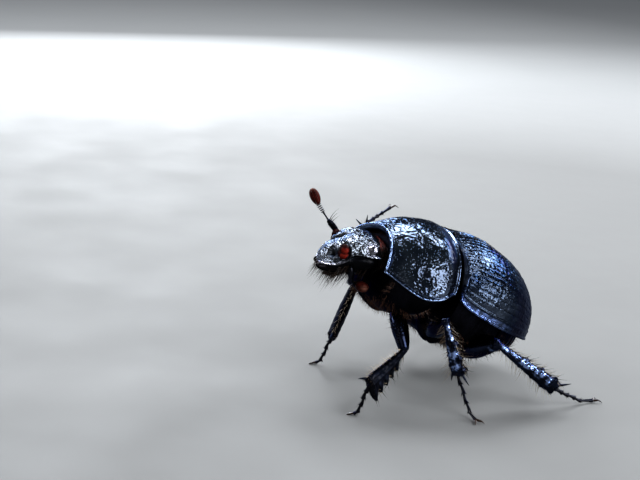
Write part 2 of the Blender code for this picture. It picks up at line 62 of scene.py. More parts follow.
# Pose
MM = 0.001
CENTRE = Vector((-0.54, 1.65, 0.0))
TRUNK_PITCH, TRUNK_HEIGHT = 22.0, 6.9
NECK = Vector((0.0, -4.17, 0.65))
HEAD_YAW, HEAD_PITCH, HEAD_ROLL = 20.0, 13.0, 5.0
FLOOR = Matrix.Scale(MM, 4) @ Matrix.Translation(-CENTRE)
TRUNK = FLOOR @ Matrix.Translation((0, 0, TRUNK_HEIGHT)) @ Matrix.Rotation(math.radians(-TRUNK_PITCH), 4, "X")
HEAD_TURN = Euler((math.radians(HEAD_PITCH), math.radians(HEAD_ROLL), math.radians(-HEAD_YAW)))
HEAD = TRUNK @ Matrix.Translation(NECK) @ HEAD_TURN.to_matrix().to_4x4()

# Pronotum
PRONOTUM_FRONT, PRONOTUM_BACK = -4.67, 0.20
PRONOTUM_FRONT_NOTCH, PRONOTUM_BACK_BULGE = 0.41, 0.16
PRONOTUM_WIDTHS = [(0.0, 3.05), (0.35, 4.325), (0.70, 5.00), (1.0, 4.26)]
PRONOTUM_MARGINS = [(0.0, -0.25), (0.5, -0.82), (1.0, 0.02)]
PRONOTUM_FRONT_CROWN, PRONOTUM_CROWN = 2.15, 3.57
PRONOTUM_ROUNDNESS = 1.95
PRONOTUM_WALL = 0.30

# Wing cases
ELYTRA_FRONT, ELYTRA_LENGTH = 0.38, 8.54
ELYTRA_HALF_WIDTH, SHOULDER_TAPER = 5.43, 0.13
ELYTRA_CROWN, MARGIN_DROP = 4.80, 1.47
ELYTRA_WALL = 0.30
ELYTRA_TIP_ANGLE = math.radians(86)
SUTURE_GAP = 0.02
STRIAE = 14
STRIPED_SHARE = 0.925  # how far the striae reach across, before the strip under the side keel
SCUTELLUM_HALF_WIDTH, SCUTELLUM_LENGTH = 0.75, 1.15

# Underside
HINDBODY_DEPTHS = [(0.0, 2.80), (0.25, 2.85), (0.5, 2.50), (0.8, 1.50), (1.0, 0.20)]
PROSTERNUM_DEPTH = 2.05
WAIST = 0.459  # share of the wing cases' length where the hind thorax meets the abdomen
BELLY_SEGMENTS = 6
COXAE = {
    "front": ((1.35, -2.00, -1.60), (0.95, 0.80, 0.95), (-20, 20, 0)),
    "middle": ((1.75, 0.95, -2.75), (1.15, 0.62, 0.75), (0, 25, 18)),
    "hind": ((1.85, 3.00, -2.75), (1.45, 0.66, 0.72), (0, 22, -10)),
}
ROUNDNESS = 2.35

# Head: (forward from the neck, half width, top, bottom, height of the side edge)
HEAD_STATIONS = [
    (-0.75, 1.30, 0.35, -0.80, -0.20),
    (-0.50, 1.62, 0.50, -1.15, -0.15),
    (0.10, 2.16, 0.84, -1.50, -0.12),
    (0.80, 2.28, 0.94, -1.68, -0.15),
    (1.40, 2.25, 0.82, -1.72, -0.25),
    (1.90, 2.28, 0.50, -1.70, -0.58),
    (2.40, 2.00, 0.12, -1.62, -0.90),
    (2.85, 1.55, -0.30, -1.56, -1.10),
    (3.20, 1.05, -0.68, -1.48, -1.20),
    (3.42, 0.55, -0.95, -1.42, -1.26),
]
HEAD_BACK, HEAD_FRONT = -0.85, 3.38
# How far forward the suture between the clypeus and the brow lies, at each distance from the middle
SUTURE = [(0.0, 1.78), (0.24, 1.95), (0.79, 2.52), (1.23, 2.70), (1.90, 2.74)]
BROW_GROOVE = [(0.79, 2.56), (0.24, 1.93), (0.69, 1.10)]
CANTHUS_WEDGE = [(1.12, 2.74), (1.50, 2.58), (1.82, 2.36)]
TEMPLE_BUMP, TEMPLE_CORNER = Vector((1.96, -0.22, 0.30)), Vector((1.94, 0.14, -0.12))
EYE_PLACE, EYE_RADII, EYE_TURN = Vector((2.12, -2.12, -0.06)), Vector((0.42, 0.34, 0.48)), 12.0
LABRUM_PLACE, LABRUM_RADII = Vector((0.0, -3.10, -1.42)), Vector((0.78, 0.42, 0.22))
MANDIBLE_LINE = [
    (1.55, -1.90, -1.15),
    (1.55, -2.45, -1.30),
    (1.25, -2.95, -1.42),
    (0.82, -3.22, -1.46),
    (0.34, -3.32, -1.48),
]
MANDIBLE_RADII = [0.30, 0.36, 0.33, 0.26, 0.12]
PALP_LINE = [(0.75, -1.60, -1.55), (0.90, -2.10, -1.78), (0.90, -2.55, -1.86), (0.72, -2.92, -1.84)]
PALP_RADII = [0.11, 0.15, 0.14, 0.12]
# Each antenna: places along its bent first joint up to its elbow, the end of its stalk, the tip of its club
ANTENNAE = {
    "right": [
        (-2.00, -2.34, -0.80), (-2.80, -2.25, -0.75), (-3.06, -2.02, 0.02), (-2.70, -2.66, 0.72),
        (-3.00, -3.49, 1.62), (-3.30, -4.10, 2.55),
    ],
    "left": [
        (1.75, -1.55, -0.72), (2.28, -1.48, -1.15), (1.80, -1.30, -1.90), (0.60, -1.15, -2.22),
        (1.05, -0.62, -2.20), (2.10, -0.38, -2.20),
    ],
}
CLUB_WIDTH, CLUB_THICKNESS = 0.78, 0.62
CLUB_LEAVES = [(-0.32, -0.104), (-0.094, 0.094), (0.104, 0.32)]

# Legs: coxa, knee, ankle, foot, and the way in which the tibia's toothed edge points
LEGS = {
    "front_left": (
        (1.50, -2.55, 5.65), (4.06, -3.18, 3.61), (5.72, -6.44, 2.34), (4.72, -6.76, 0.24),
        (0.1, 0.6, -0.8),
    ),
    "front_right": (
        (-1.50, -2.55, 5.65), (-4.41, -2.28, 5.41), (-3.30, -4.38, 2.23), (-4.20, -5.00, 0.24),
        (-0.8, 0.5, -0.3),
    ),
    "middle_left": (
        (2.20, -0.20, 3.70), (5.49, -1.22, 5.86), (5.62, -0.13, 2.21), (8.05, -0.10, 0.24),
        (0.9, 0.5, 0.2),
    ),
    "middle_right": (
        (-2.20, -0.20, 3.70), (-6.00, 0.30, 4.75), (-7.40, -0.32, 8.43), (-8.75, 2.40, 9.14),
        (-0.9, 0.3, -0.4),
    ),
    "hind_left": (
        (2.10, 2.00, 2.60), (6.32, 2.16, 4.22), (7.46, 5.98, 1.22), (7.46, 9.00, 0.24),
        (0.5, 0.3, 0.8),
    ),
    "hind_right": (
        (-2.10, 2.00, 2.60), (-5.95, 2.60, 4.20), (-7.20, 6.20, 1.30), (-7.60, 9.20, 0.24),
        (-0.5, 0.3, 0.8),
    ),
}
FEMUR_WIDTH = {"front": 1.35, "middle": 1.25, "hind": 1.60}
FEMUR_THICKNESS = {"front": 1.00, "middle": 0.90, "hind": 1.05}
TIBIA_WIDTH = {"front": 1.15, "middle": 1.05, "hind": 1.15}
TIBIA_THICKNESS = 0.62
# (share of the length, reach of the outer edge, reach of the inner edge, thickness)
FEMUR_SHAPE = [
    (-0.02, 0.50, 0.50, 0.60),
    (0.20, 0.85, 0.90, 0.90),
    (0.50, 1.00, 1.00, 1.00),
    (0.80, 0.78, 0.72, 0.82),
    (0.98, 0.45, 0.45, 0.60),
    (1.05, 0.26, 0.26, 0.36),
]
TIBIA_SHAPE = [
    (-0.03, 0.30, 0.30, 0.62),
    (0.12, 0.38, 0.36, 0.80),
    (0.50, 0.68, 0.56, 1.00),
    (0.85, 1.02, 0.78, 1.00),
    (1.00, 0.90, 0.72, 0.90),
]
# (count, share of the length at the first, step in that share, size)
TEETH = {
    "front": (5, 0.98, 0.165, 0.74),
    "middle": (3, 0.90, 0.24, 0.20),
    "hind": (3, 0.90, 0.24, 0.18),
}
# Ways in which the spurs point: (along the tibia, towards its toothed edge, towards its flat face)
SPURS = {
    "front": [(0.85, -0.54, 0.0)],
    "middle": [(0.79, 0.61, 0.3), (0.87, -0.49, -0.3)],
    "hind": [(0.45, 0.88, 0.2), (0.80, 0.35, -0.5)],
}
SPUR_LENGTH = {"front": 0.90, "middle": 0.95, "hind": 1.00}
SOLE_DROP = 0.11  # how much lower the thin feet lie than the middle of the stout solids
TARSUS_RADIUS = 0.125
CLAW_LENGTH = 0.60


# Making pieces


def primitive(name, add, **settings):
    """A new primitive on its own, named for its piece."""
    bpy.ops.object.select_all(action="DESELECT")
    add(**settings)
    obj = bpy.context.active_object
    obj.name = obj.data.name = name
    return obj


def ball(name, around, along):
    return primitive(
        name, bpy.ops.mesh.primitive_uv_sphere_add, segments=around, ring_count=along, radius=1.0
    )


def sheet(name, across, along):
    return primitive(
        name, bpy.ops.mesh.primitive_grid_add, x_subdivisions=across, y_subdivisions=along, size=1.0
    )


def edit(obj, work):
    """Does one job on the whole of a piece in edit mode."""
    bpy.ops.object.select_all(action="DESELECT")
    bpy.context.view_layer.objects.active = obj
    obj.select_set(True)
    bpy.ops.object.mode_set(mode="EDIT")
    bpy.ops.mesh.select_all(action="SELECT")
    work()
    bpy.ops.object.mode_set(mode="OBJECT")


def face_outwards(obj):
    edit(obj, lambda: bpy.ops.mesh.normals_make_consistent(inside=False))


def modify(obj, kind, **settings):
    """Adds a modifier and applies it."""
    made = obj.modifiers.new(kind.lower(), kind)
    for key, value in settings.items():
        setattr(made, key, value)
    bpy.ops.object.select_all(action="DESELECT")
    bpy.context.view_layer.objects.active = obj
    obj.select_set(True)
    bpy.ops.object.modifier_apply(modifier=made.name)


def paint(obj, name, values):
    """A value at each vertex that the finish reads, such as how near the rim it lies."""
    layer = obj.data.attributes.get(name) or obj.data.attributes.new(name, "FLOAT", "POINT")
    layer.data.foreach_set("value", values)


def mould(obj, surface, relief=None, margin=None, wall=0.0, painted_shade=None):
    """Lays a primitive on surface(mark), gives it a wall, and raises it by relief(mark, place) in mm."""
    verts = obj.data.vertices
    marks = [v.co.copy() for v in verts]
    for v, mark in zip(verts, marks):
        v.co = surface(mark)
    obj.data.update()
    if wall:
        if sum(polygon.normal.z for polygon in obj.data.polygons) < 0:
            edit(obj, bpy.ops.mesh.flip_normals)
    else:
        face_outwards(obj)
    places = [v.co.copy() for v in obj.data.vertices]
    normals = [v.normal.copy() for v in obj.data.vertices]
    rims = [margin(mark, place) if margin else 0.0 for mark, place in zip(marks, places)]
    painted_shades = [painted_shade(mark, place) if painted_shade else 0.0 for mark, place in zip(marks, places)]
    if wall:
        modify(obj, "SOLIDIFY", thickness=wall, offset=-1)
    inner = len(obj.data.vertices) - len(marks)
    paint(obj, "margin", rims + [0.0] * inner)
    # Painted shade: full on the inner face of a walled plate, and on the outer face as each piece lays it.
    paint(obj, "painted_shade", painted_shades + [1.0] * inner)
    if relief:
        for v, mark, place, normal in zip(obj.data.vertices, marks, places, normals):
            v.co = place + normal * relief(mark, place)
    obj.data.update()
    return obj


def join(first, *others):
    """Makes one piece of several."""
    bpy.ops.object.select_all(action="DESELECT")
    for obj in (first, *others):
        obj.select_set(True)
    bpy.context.view_layer.objects.active = first
    bpy.ops.object.join()
    return first


def finish(obj, place, material, slot, *nodes):
    """Puts a piece in its place in metres with its finish, and hides the solids it stands for."""
    obj.data.transform(place)
    obj.data.materials.clear()
    obj.data.materials.append(material)
    bpy.ops.object.select_all(action="DESELECT")
    bpy.context.view_layer.objects.active = obj
    obj.select_set(True)
    bpy.ops.object.shade_smooth_by_angle(angle=math.radians(50))
    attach(obj, "root")
    if nodes:
        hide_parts(*nodes)
    return obj


def lerp(a, b, t):
    return a + (b - a) * t


def clamp(value, low=0.0, high=1.0):
    return max(low, min(high, value))


def smooth(value):
    value = clamp(value)
    return value * value * (3 - 2 * value)


def bell(distance, width):
    """1 in the middle, fading to nothing about two widths away."""
    return math.exp(-((distance / width) ** 2))


def sample(rows, at):
    """A smooth curve through rows of numbers, read where the first of them is `at`."""
    keys = [row[0] for row in rows]
    i = max(0, min(len(rows) - 2, sum(key <= at for key in keys) - 1))
    t = (at - keys[i]) / (keys[i + 1] - keys[i])
    before, after = rows[max(i - 1, 0)], rows[min(i + 2, len(rows) - 1)]
    values = []
    for p0, p1, p2, p3 in zip(before[1:], rows[i][1:], rows[i + 1][1:], after[1:]):
        square = 2 * p0 - 5 * p1 + 4 * p2 - p3
        cube = 3 * p1 - p0 - 3 * p2 + p3
        values.append(0.5 * (2 * p1 + (p2 - p0) * t + square * t**2 + cube * t**3))
    return values


def rounded(angle, power=ROUNDNESS):
    """(across, up) on a unit cross-section: the crown is at 0 and the side at 90 degrees."""
    across, up = math.sin(angle), math.cos(angle)
    return (
        math.copysign(abs(across) ** (2 / power), across),
        math.copysign(abs(up) ** (2 / power), up),
    )


def crowd(share, pull=0.7):
    """Moves shares from 0 to 1 towards both ends, so that rims get more of the mesh."""
    return share - pull * math.sin(2 * math.pi * share) / (2 * math.pi)


def pits(place, spacing, radius, depth, kept=1.0):
    """Small round pits about this far apart, of uneven size, as a depth under the skin."""
    distances, centres = noise.voronoi(place / spacing)
    size = noise.cell(centres[0] * 7.3) * 0.5 + 0.5
    if size > kept:
        return 0.0
    reach = radius * (0.65 + 0.7 * size)
    return -depth * smooth(1 - distances[0] * spacing / reach)


def bead(distance, width, height, groove):
    """A raised round rim with a groove inside it, for a distance from the edge in mm."""
    along = distance / width
    rim = height * math.sqrt(max(0.0, 1 - (2 * along - 1) ** 2)) if along < 1 else 0.0
    return rim - groove * bell(distance - width * 1.3, width * 0.28)


def limb_axes(start, end, outward):
    """The unit vectors along a limb, towards its outer edge, and square to both."""
    along = (end - start).normalized()
    edge = (outward - outward.dot(along) * along).normalized()
    return along, edge, along.cross(edge)


def limb_surface(start, end, outward, rows, width, thickness, roundness=2.2, blunt=0.45, teeth=()):
    """surface(turn, share) of a leg segment, with turn from its flat face and teeth on its outer edge."""
    along, edge, flat = limb_axes(start, end, outward)
    length = (end - start).length
    known = {}

    def surface(turn, share, cap=1.0):
        key = round(share, 5)
        if key not in known:
            known[key] = sample(rows, lerp(rows[0][0], rows[-1][0], share))
        outer, inner, thick = known[key]
        across, up = rounded(turn, roundness)
        at = length * lerp(rows[0][0], rows[-1][0], share)
        reach = (outer if across > 0 else inner) * width / 2 * across
        height = thick * thickness / 2 * up
        if across > 0.2 and teeth:
            blade = smooth((across - 0.2) / 0.75)
            for tooth_at, tooth_reach, tooth_width in teeth:
                rise = clamp(1 - abs(at - tooth_at) / tooth_width) ** 1.15
                reach += tooth_reach * rise * blade
                at += tooth_reach * 0.42 * rise * blade
        return start + along * at + (edge * reach + flat * height) * cap

    surface.blunt = blunt
    return surface


def line_surface(points, radii, flatness=1.0, sideways=Vector((0, 0, 1)), blunt=0.45):
    """surface(turn, share) of a round or flattened horn along a smooth line through the points."""
    count = len(points) - 1
    rows = [(i / count, *points[i], radii[i]) for i in range(count + 1)]
    known = {}

    def surface(turn, share, cap=1.0):
        key = round(share, 5)
        if key not in known:
            x, y, z, radius = sample(rows, share)
            ahead = Vector(sample(rows, min(1.0, share + 0.02))[:3])
            behind = Vector(sample(rows, max(0.0, share - 0.02))[:3])
            along = (ahead - behind).normalized()
            side = along.cross(sideways).normalized()
            known[key] = (Vector((x, y, z)), side, side.cross(along), max(0.01, radius))
        middle, side, up, radius = known[key]
        return middle + (side * math.sin(turn) + up * math.cos(turn) * flatness) * radius * cap

    surface.blunt = blunt
    return surface


def skin(name, surface, around=32, along=40, relief=None, margin=None, painted_shade=None):
    """A closed skin on surface(turn, share), rounded off at both ends."""

    def place(mark):
        turn, share = skin_mark(mark)
        return surface(turn, share, min(1.0, math.hypot(mark.x, mark.y) / surface.blunt))

    raise_by = relief and (lambda mark, at: relief(*skin_mark(mark), at))
    rim = margin and (lambda mark, at: margin(*skin_mark(mark), at))
    shade = painted_shade and (lambda mark, at: painted_shade(*skin_mark(mark), at))
    return mould(ball(name, around, along), place, raise_by, rim, 0.0, shade)


def skin_mark(mark):
    """The turn and the share of the length of a vertex of the unit ball."""
    return math.atan2(mark.x, mark.y), clamp((1 - mark.z) / 2)


# Finishes


class Finish:
    """A material built node by node, with its pattern sizes in millimetres."""

    def __init__(self, name, **sockets):
        self.material = bpy.data.materials.new(name)
        self.material.use_nodes = True
        self.tree = self.material.node_tree
        self.shader = self.tree.nodes["Principled BSDF"]
        for socket, value in sockets.items():
            self.shader.inputs[socket.replace("_", " ").title().replace("Ior", "IOR")].default_value = value
        place = self.node("ShaderNodeTexCoord").outputs["Object"]
        self.place = self.node("ShaderNodeMapping", Vector=place, Scale=(1 / MM,) * 3).outputs["Vector"]
        self.bump = None

    def node(self, kind, settings=None, **inputs):
        made = self.tree.nodes.new(kind)
        for key, value in (settings or {}).items():
            setattr(made, key, value)
        for key, value in inputs.items():
            self.feed(made.inputs[key.replace("_", " ")], value)
        return made

    def feed(self, socket, value):
        """Links another node's output to a socket, or sets a plain value on it."""
        if isinstance(value, bpy.types.NodeSocket):
            self.tree.links.new(value, socket)
        else:
            socket.default_value = value

    def noise(self, size, detail=3.0, roughness=0.5):
        """Smooth patches of about this size, from 0 to 1."""
        made = self.node(
            "ShaderNodeTexNoise", Vector=self.place, Scale=1 / size, Detail=detail, Roughness=roughness
        )
        return made.outputs["Fac"]

    def cells(self, size):
        """The distance from the middles of cells of this size."""
        return self.node("ShaderNodeTexVoronoi", Vector=self.place, Scale=1 / size).outputs["Distance"]

    def spread(self, value, low, high, to_low=0.0, to_high=1.0):
        """Stretches a value from one range to another, and stops at the ends."""
        made = self.node("ShaderNodeMapRange", Value=value)
        for key, number in (("From Min", low), ("From Max", high), ("To Min", to_low), ("To Max", to_high)):
            made.inputs[key].default_value = number
        return made.outputs["Result"]

    def mix(self, factor, first, second):
        """A colour between two, of which either may be plain or come from another node."""
        made = self.node("ShaderNodeMix", {"data_type": "RGBA"})
        self.feed(made.inputs[0], factor)
        for socket, value in ((made.inputs[6], first), (made.inputs[7], second)):
            self.feed(socket, (*value, 1.0) if isinstance(value, tuple) else value)
        return made.outputs[2]

    def arithmetic(self, operation, first, second, **settings):
        made = self.node("ShaderNodeMath", {"operation": operation, **settings})
        self.feed(made.inputs[0], first)
        self.feed(made.inputs[1], second)
        return made.outputs["Value"]

    def times(self, first, second):
        return self.arithmetic("MULTIPLY", first, second)

    def plus(self, first, second):
        return self.arithmetic("ADD", first, second, use_clamp=True)

    def painted(self, name):
        """A value that paint has laid on the piece."""
        return self.node("ShaderNodeAttribute", {"attribute_name": name}).outputs["Fac"]

    def raised(self, height, depth):
        """Adds a bump of this depth in millimetres."""
        inputs = {"Height": height, "Distance": depth * MM}
        if self.bump:
            inputs["Normal"] = self.bump
        self.bump = self.node("ShaderNodeBump", **inputs).outputs["Normal"]

    def set(self, colour=None, roughness=None):
        if colour:
            self.tree.links.new(colour, self.shader.inputs["Base Color"])
        if roughness:
            self.tree.links.new(roughness, self.shader.inputs["Roughness"])
        if self.bump:
            self.tree.links.new(self.bump, self.shader.inputs["Normal"])
        return self.material


EDGE_TINT = (0.34, 0.38, 0.48, 1.0)  # how cuticle reflects at a glance along it


def cuticle(
    name,
    deep,
    lit,
    rim,
    smoothness,
    pit_size,
    pit_depth,
    coat=0.3,
    metallic=0.9,
    shine=0.3,
    grain=(0.12, 0.006),
    edge=EDGE_TINT,
):
    """Insect cuticle: slow changes of hue, fine pits and dust, a rim of another hue that some pieces use for
    painted highlights, and painted shade.
    """
    made = Finish(
        name,
        metallic=metallic,
        coat_weight=coat,
        coat_roughness=0.07,
        coat_ior=1.5,
        specular_ior_level=shine,
        specular_tint=edge,
    )
    hue = made.spread(made.noise(1.7, 2.0), 0.38, 0.62)
    fine = made.spread(made.noise(0.22, 3.0), 0.35, 0.7)
    colour = made.mix(hue, deep, lit)
    colour = made.mix(made.times(fine, 0.45), colour, tuple(0.55 * part for part in deep))
    # The rim hue: the shell's own blue edges, and on the head and legs painted highlights.
    colour = made.mix(made.painted("margin"), colour, rim)
    dust = made.spread(made.noise(0.6, 5.0, 0.65), 0.60, 0.80, 0.0, 0.12)
    colour = made.mix(dust, colour, (0.045, 0.047, 0.052))
    # Painted shade: the colour goes to near black, and the surface rougher, where painted_shade is laid.
    painted_shade = made.painted("painted_shade")
    colour = made.mix(painted_shade, colour, (0.003, 0.003, 0.004))
    rough = made.spread(made.noise(0.35, 4.0, 0.6), 0.3, 0.75, smoothness * 0.75, smoothness * 1.6)
    rough = made.plus(rough, made.times(painted_shade, 0.35))
    made.raised(made.spread(made.cells(pit_size), 0.04, 0.25), pit_depth)
    made.raised(made.noise(grain[0], 0.0), grain[1])
    made.raised(made.noise(0.030, 2.0, 0.6), 0.0008)
    return made.set(colour, rough)


def hair_finish(name, dark, pale, rough=0.38, shine=0.6):
    made = Finish(name, specular_ior_level=shine)
    shade = made.spread(made.noise(0.35, 2.0), 0.35, 0.65)
    made.raised(made.noise(0.02, 1.0), 0.001)
    sheen = made.spread(made.noise(0.2), 0.3, 0.7, rough * 0.8, rough * 1.25)
    return made.set(made.mix(shade, dark, pale), sheen)


PRONOTUM_BLACK = cuticle(
    "pronotum_blue_black",
    (0.028, 0.037, 0.058), (0.080, 0.097, 0.130), (0.17, 0.24, 0.42),
    0.09, 0.15, 0.012, coat=0.06, metallic=0.96, grain=(0.15, 0.015),
)
ELYTRA_BLACK = cuticle(
    "wing_case_blue_black",
    (0.014, 0.021, 0.038), (0.052, 0.068, 0.100), (0.18, 0.27, 0.60),
    0.08, 0.13, 0.012, coat=0.04, metallic=0.96, grain=(0.13, 0.017),
)
# Its pale rim hue is the painted highlight on the clypeus rim and the temples.
HEAD_BLACK = cuticle(
    "head_blue_black",
    (0.074, 0.082, 0.098), (0.175, 0.190, 0.220), (0.36, 0.34, 0.40),
    0.10, 0.080, 0.007, coat=0.04, metallic=0.98, grain=(0.10, 0.012),
)
BELLY_BLACK = cuticle(
    "belly_black",
    (0.003, 0.003, 0.004), (0.006, 0.006, 0.009), (0.020, 0.010, 0.009),
    0.45, 0.16, 0.012, coat=0.0, metallic=1.0, shine=0.10,
)
# Its blue-white rim hue is the painted highlight on the femora and tibiae.
LEG_BLACK = cuticle(
    "leg_blue_black",
    (0.004, 0.005, 0.010), (0.009, 0.013, 0.030), (0.34, 0.48, 0.92),
    0.13, 0.15, 0.008, coat=0.05, metallic=1.0, shine=0.15, grain=(0.14, 0.012),
)
FOOT_BLACK = cuticle(
    "foot_black",
    (0.005, 0.005, 0.007), (0.010, 0.010, 0.015), (0.05, 0.026, 0.016),
    0.28, 0.09, 0.006, coat=0.08, metallic=1.0, shine=0.25,
)
CLAW_BROWN = cuticle(
    "claw_brown",
    (0.016, 0.008, 0.006), (0.036, 0.017, 0.009), (0.12, 0.055, 0.025),
    0.24, 0.08, 0.003, coat=0.3, metallic=0.3, grain=(0.10, 0.002),
)
JAW_BLACK = cuticle(
    "jaw_red_black",
    (0.004, 0.003, 0.004), (0.008, 0.006, 0.007), (0.024, 0.012, 0.011),
    0.30, 0.16, 0.006, coat=0.02, metallic=1.0, shine=0.15, edge=(0.10, 0.10, 0.11, 1.0),
)


def eye_finish():
    made = Finish(
        "eye_red",
        coat_weight=0.03,
        coat_roughness=0.20,
        specular_ior_level=0.0,
        subsurface_weight=0.15,
        subsurface_scale=0.0002,
    )
    shade = made.spread(made.noise(0.30, 3.0), 0.35, 0.65)
    colour = made.mix(shade, (0.055, 0.003, 0.002), (0.165, 0.013, 0.008))
    # The margin darkens the eye: painted shade at its border, and the canthus band between the lobes.
    colour = made.mix(made.painted("margin"), colour, (0.010, 0.002, 0.002))
    made.raised(made.spread(made.cells(0.038), 0.1, 0.6, 1.0, 0.0), 0.002)
    return made.set(colour, made.spread(made.noise(0.1, 2.0), 0.3, 0.7, 0.30, 0.42))


def club_finish():
    made = Finish("club_oxblood", specular_ior_level=0.02)
    shade = made.spread(made.noise(0.25, 4.0, 0.65), 0.35, 0.70)
    colour = made.mix(shade, (0.010, 0.0015, 0.001), (0.056, 0.0070, 0.0050))
    colour = made.mix(made.painted("margin"), colour, (0.17, 0.065, 0.045))
    made.raised(made.noise(0.022, 3.0, 0.7), 0.006)
    return made.set(colour, made.spread(made.noise(0.08, 3.0), 0.3, 0.7, 0.42, 0.70))


def membrane_finish():
    made = Finish("membrane_red_brown", specular_ior_level=0.03)
    shade = made.spread(made.noise(0.25, 3.0), 0.35, 0.65)
    colour = made.mix(shade, (0.020, 0.003, 0.002), (0.085, 0.010, 0.007))
    # Painted shade: near black where painted_shade is laid.
    colour = made.mix(made.painted("painted_shade"), colour, (0.004, 0.003, 0.003))
    made.raised(made.noise(0.05, 2.0), 0.006)
    return made.set(colour, made.spread(made.noise(0.1, 2.0), 0.3, 0.7, 0.42, 0.60))


EYE_RED = eye_finish()
MEMBRANE = membrane_finish()
CLUB_RED = club_finish()
HAIR_BLACK = hair_finish("bristle_black", (0.008, 0.006, 0.005), (0.028, 0.018, 0.012), 0.30, 0.12)
HAIR_BROWN = hair_finish("hair_red_brown", (0.030, 0.013, 0.008), (0.095, 0.042, 0.024), shine=0.15)
HAIR_GOLD = hair_finish("hair_pale_gold", (0.190, 0.135, 0.085), (0.420, 0.330, 0.230), 0.34)


# Trunk plates
#
# Along the wing cases u runs from 0 in front to 1 at their tip, and along the pronotum t does the same.


def elytra_half_width(u):
    return ELYTRA_HALF_WIDTH * max(0.0, 1 - u**2.25) ** 0.566 * (1 - SHOULDER_TAPER * (1 - u) ** 2.5)


def elytra_margin(u):
    return 0.1 - MARGIN_DROP * u**0.42


def elytra_crown(u):
    return ELYTRA_CROWN * max(0.0, 1 - u**2.84) ** 0.535 * (1 - 0.17 * (1 - u) ** 3 - 0.15 * (1 - u) ** 10)


def elytra_arc(u):
    """About how far it is around one wing case from the suture to its edge, in mm."""
    return 0.8 * (elytra_half_width(u) + elytra_crown(u))


def pronotum_half_width(t):
    return sample(PRONOTUM_WIDTHS, t)[0]


def pronotum_margin(t):
    return sample(PRONOTUM_MARGINS, t)[0]


def pronotum_crown(t):
    rise = math.sin(min(1.0, t / 0.8) * math.pi / 2)
    top = lerp(PRONOTUM_FRONT_CROWN, PRONOTUM_CROWN, rise) - 0.12 * max(0.0, t - 0.8) / 0.2
    return top - pronotum_margin(t)


def pronotum_mark(mark):
    """Shares from 0 to 1: across from right to left, and along from front to back."""
    return crowd(mark.x + 0.5, 0.6), crowd(mark.y + 0.5, 0.6)


def make_pronotum():
    fovea = Vector((4.14, -2.70, 0.68))

    def surface(mark):
        s, t = pronotum_mark(mark)
        across, up = rounded((2 * s - 1) * math.pi / 2, PRONOTUM_ROUNDNESS)
        front = PRONOTUM_FRONT + PRONOTUM_FRONT_NOTCH * (1 - across**2)
        back = PRONOTUM_BACK - PRONOTUM_BACK_BULGE * across**2
        return Vector(
            (
                pronotum_half_width(t) * across,
                lerp(front, back, t),
                pronotum_margin(t) + pronotum_crown(t) * up,
            )
        )

    def edges(mark):
        """How far a place lies from the side, front and back edges, in mm."""
        s, t = pronotum_mark(mark)
        side = min(s, 1 - s) * math.pi * pronotum_crown(t)
        return side, t * 4.6, (1 - t) * 4.87

    def relief(mark, place):
        side, front, back = edges(mark)
        edge = min(side, front, back)
        worn = 1 + 0.30 * noise.noise(place * 7.0)
        rise = bead(edge, 0.13 if back > front else 0.17, 0.070 * worn, 0.070)
        inner = smooth((edge - 0.20) / 0.35)
        rise += 0.045 * inner * noise.noise(place * Vector((0.75, 1.1, 0.9)) + Vector((3, 1, 7)))
        rise += 0.020 * inner * noise.noise(place * 2.2)
        rise += 0.014 * inner * noise.noise(place * 5.5)
        mirrored = Vector((abs(place.x), place.y, place.z))
        hollow = (mirrored - fovea).length
        rise -= 0.10 * bell(hollow, 0.17) - 0.03 * bell(hollow - 0.36, 0.14)
        rise -= 0.030 * bell(place.x, 0.07) * smooth((place.y + 2.6) / 0.8) * smooth((0.1 - place.y) / 0.6)
        crowded = bell(side, 1.6) + 0.6 * bell(front, 0.9) + 0.5 * bell(back, 0.5)
        if edge > 0.24:
            rise += pits(place, 0.23, 0.078, 0.044, 0.55 + 0.45 * crowded)
            rise += pits(place + Vector((5, 2, 9)), 0.14, 0.050, 0.018, 0.75)
        return rise

    def margin(mark, place):
        side, front, back = edges(mark)
        edge = min(side, front, back)
        low_side = bell(side, 0.80) * smooth((place.y + 3.9) / 3.0)
        return clamp(0.85 * bell(edge - 0.05, 0.085) + 0.16 * low_side)

    # Painted shade: a darker band over the top, a little ahead of the back edge.
    def painted_shade(mark, place):
        back = edges(mark)[2]
        return 0.90 * bell(back - 0.85, 0.45) * smooth((place.z - 1.2) / 0.5)

    obj = mould(sheet("pronotum_plate", 300, 120), surface, relief, margin, PRONOTUM_WALL, painted_shade)
    finish(obj, TRUNK, PRONOTUM_BLACK, "shell_black", "pronotum")


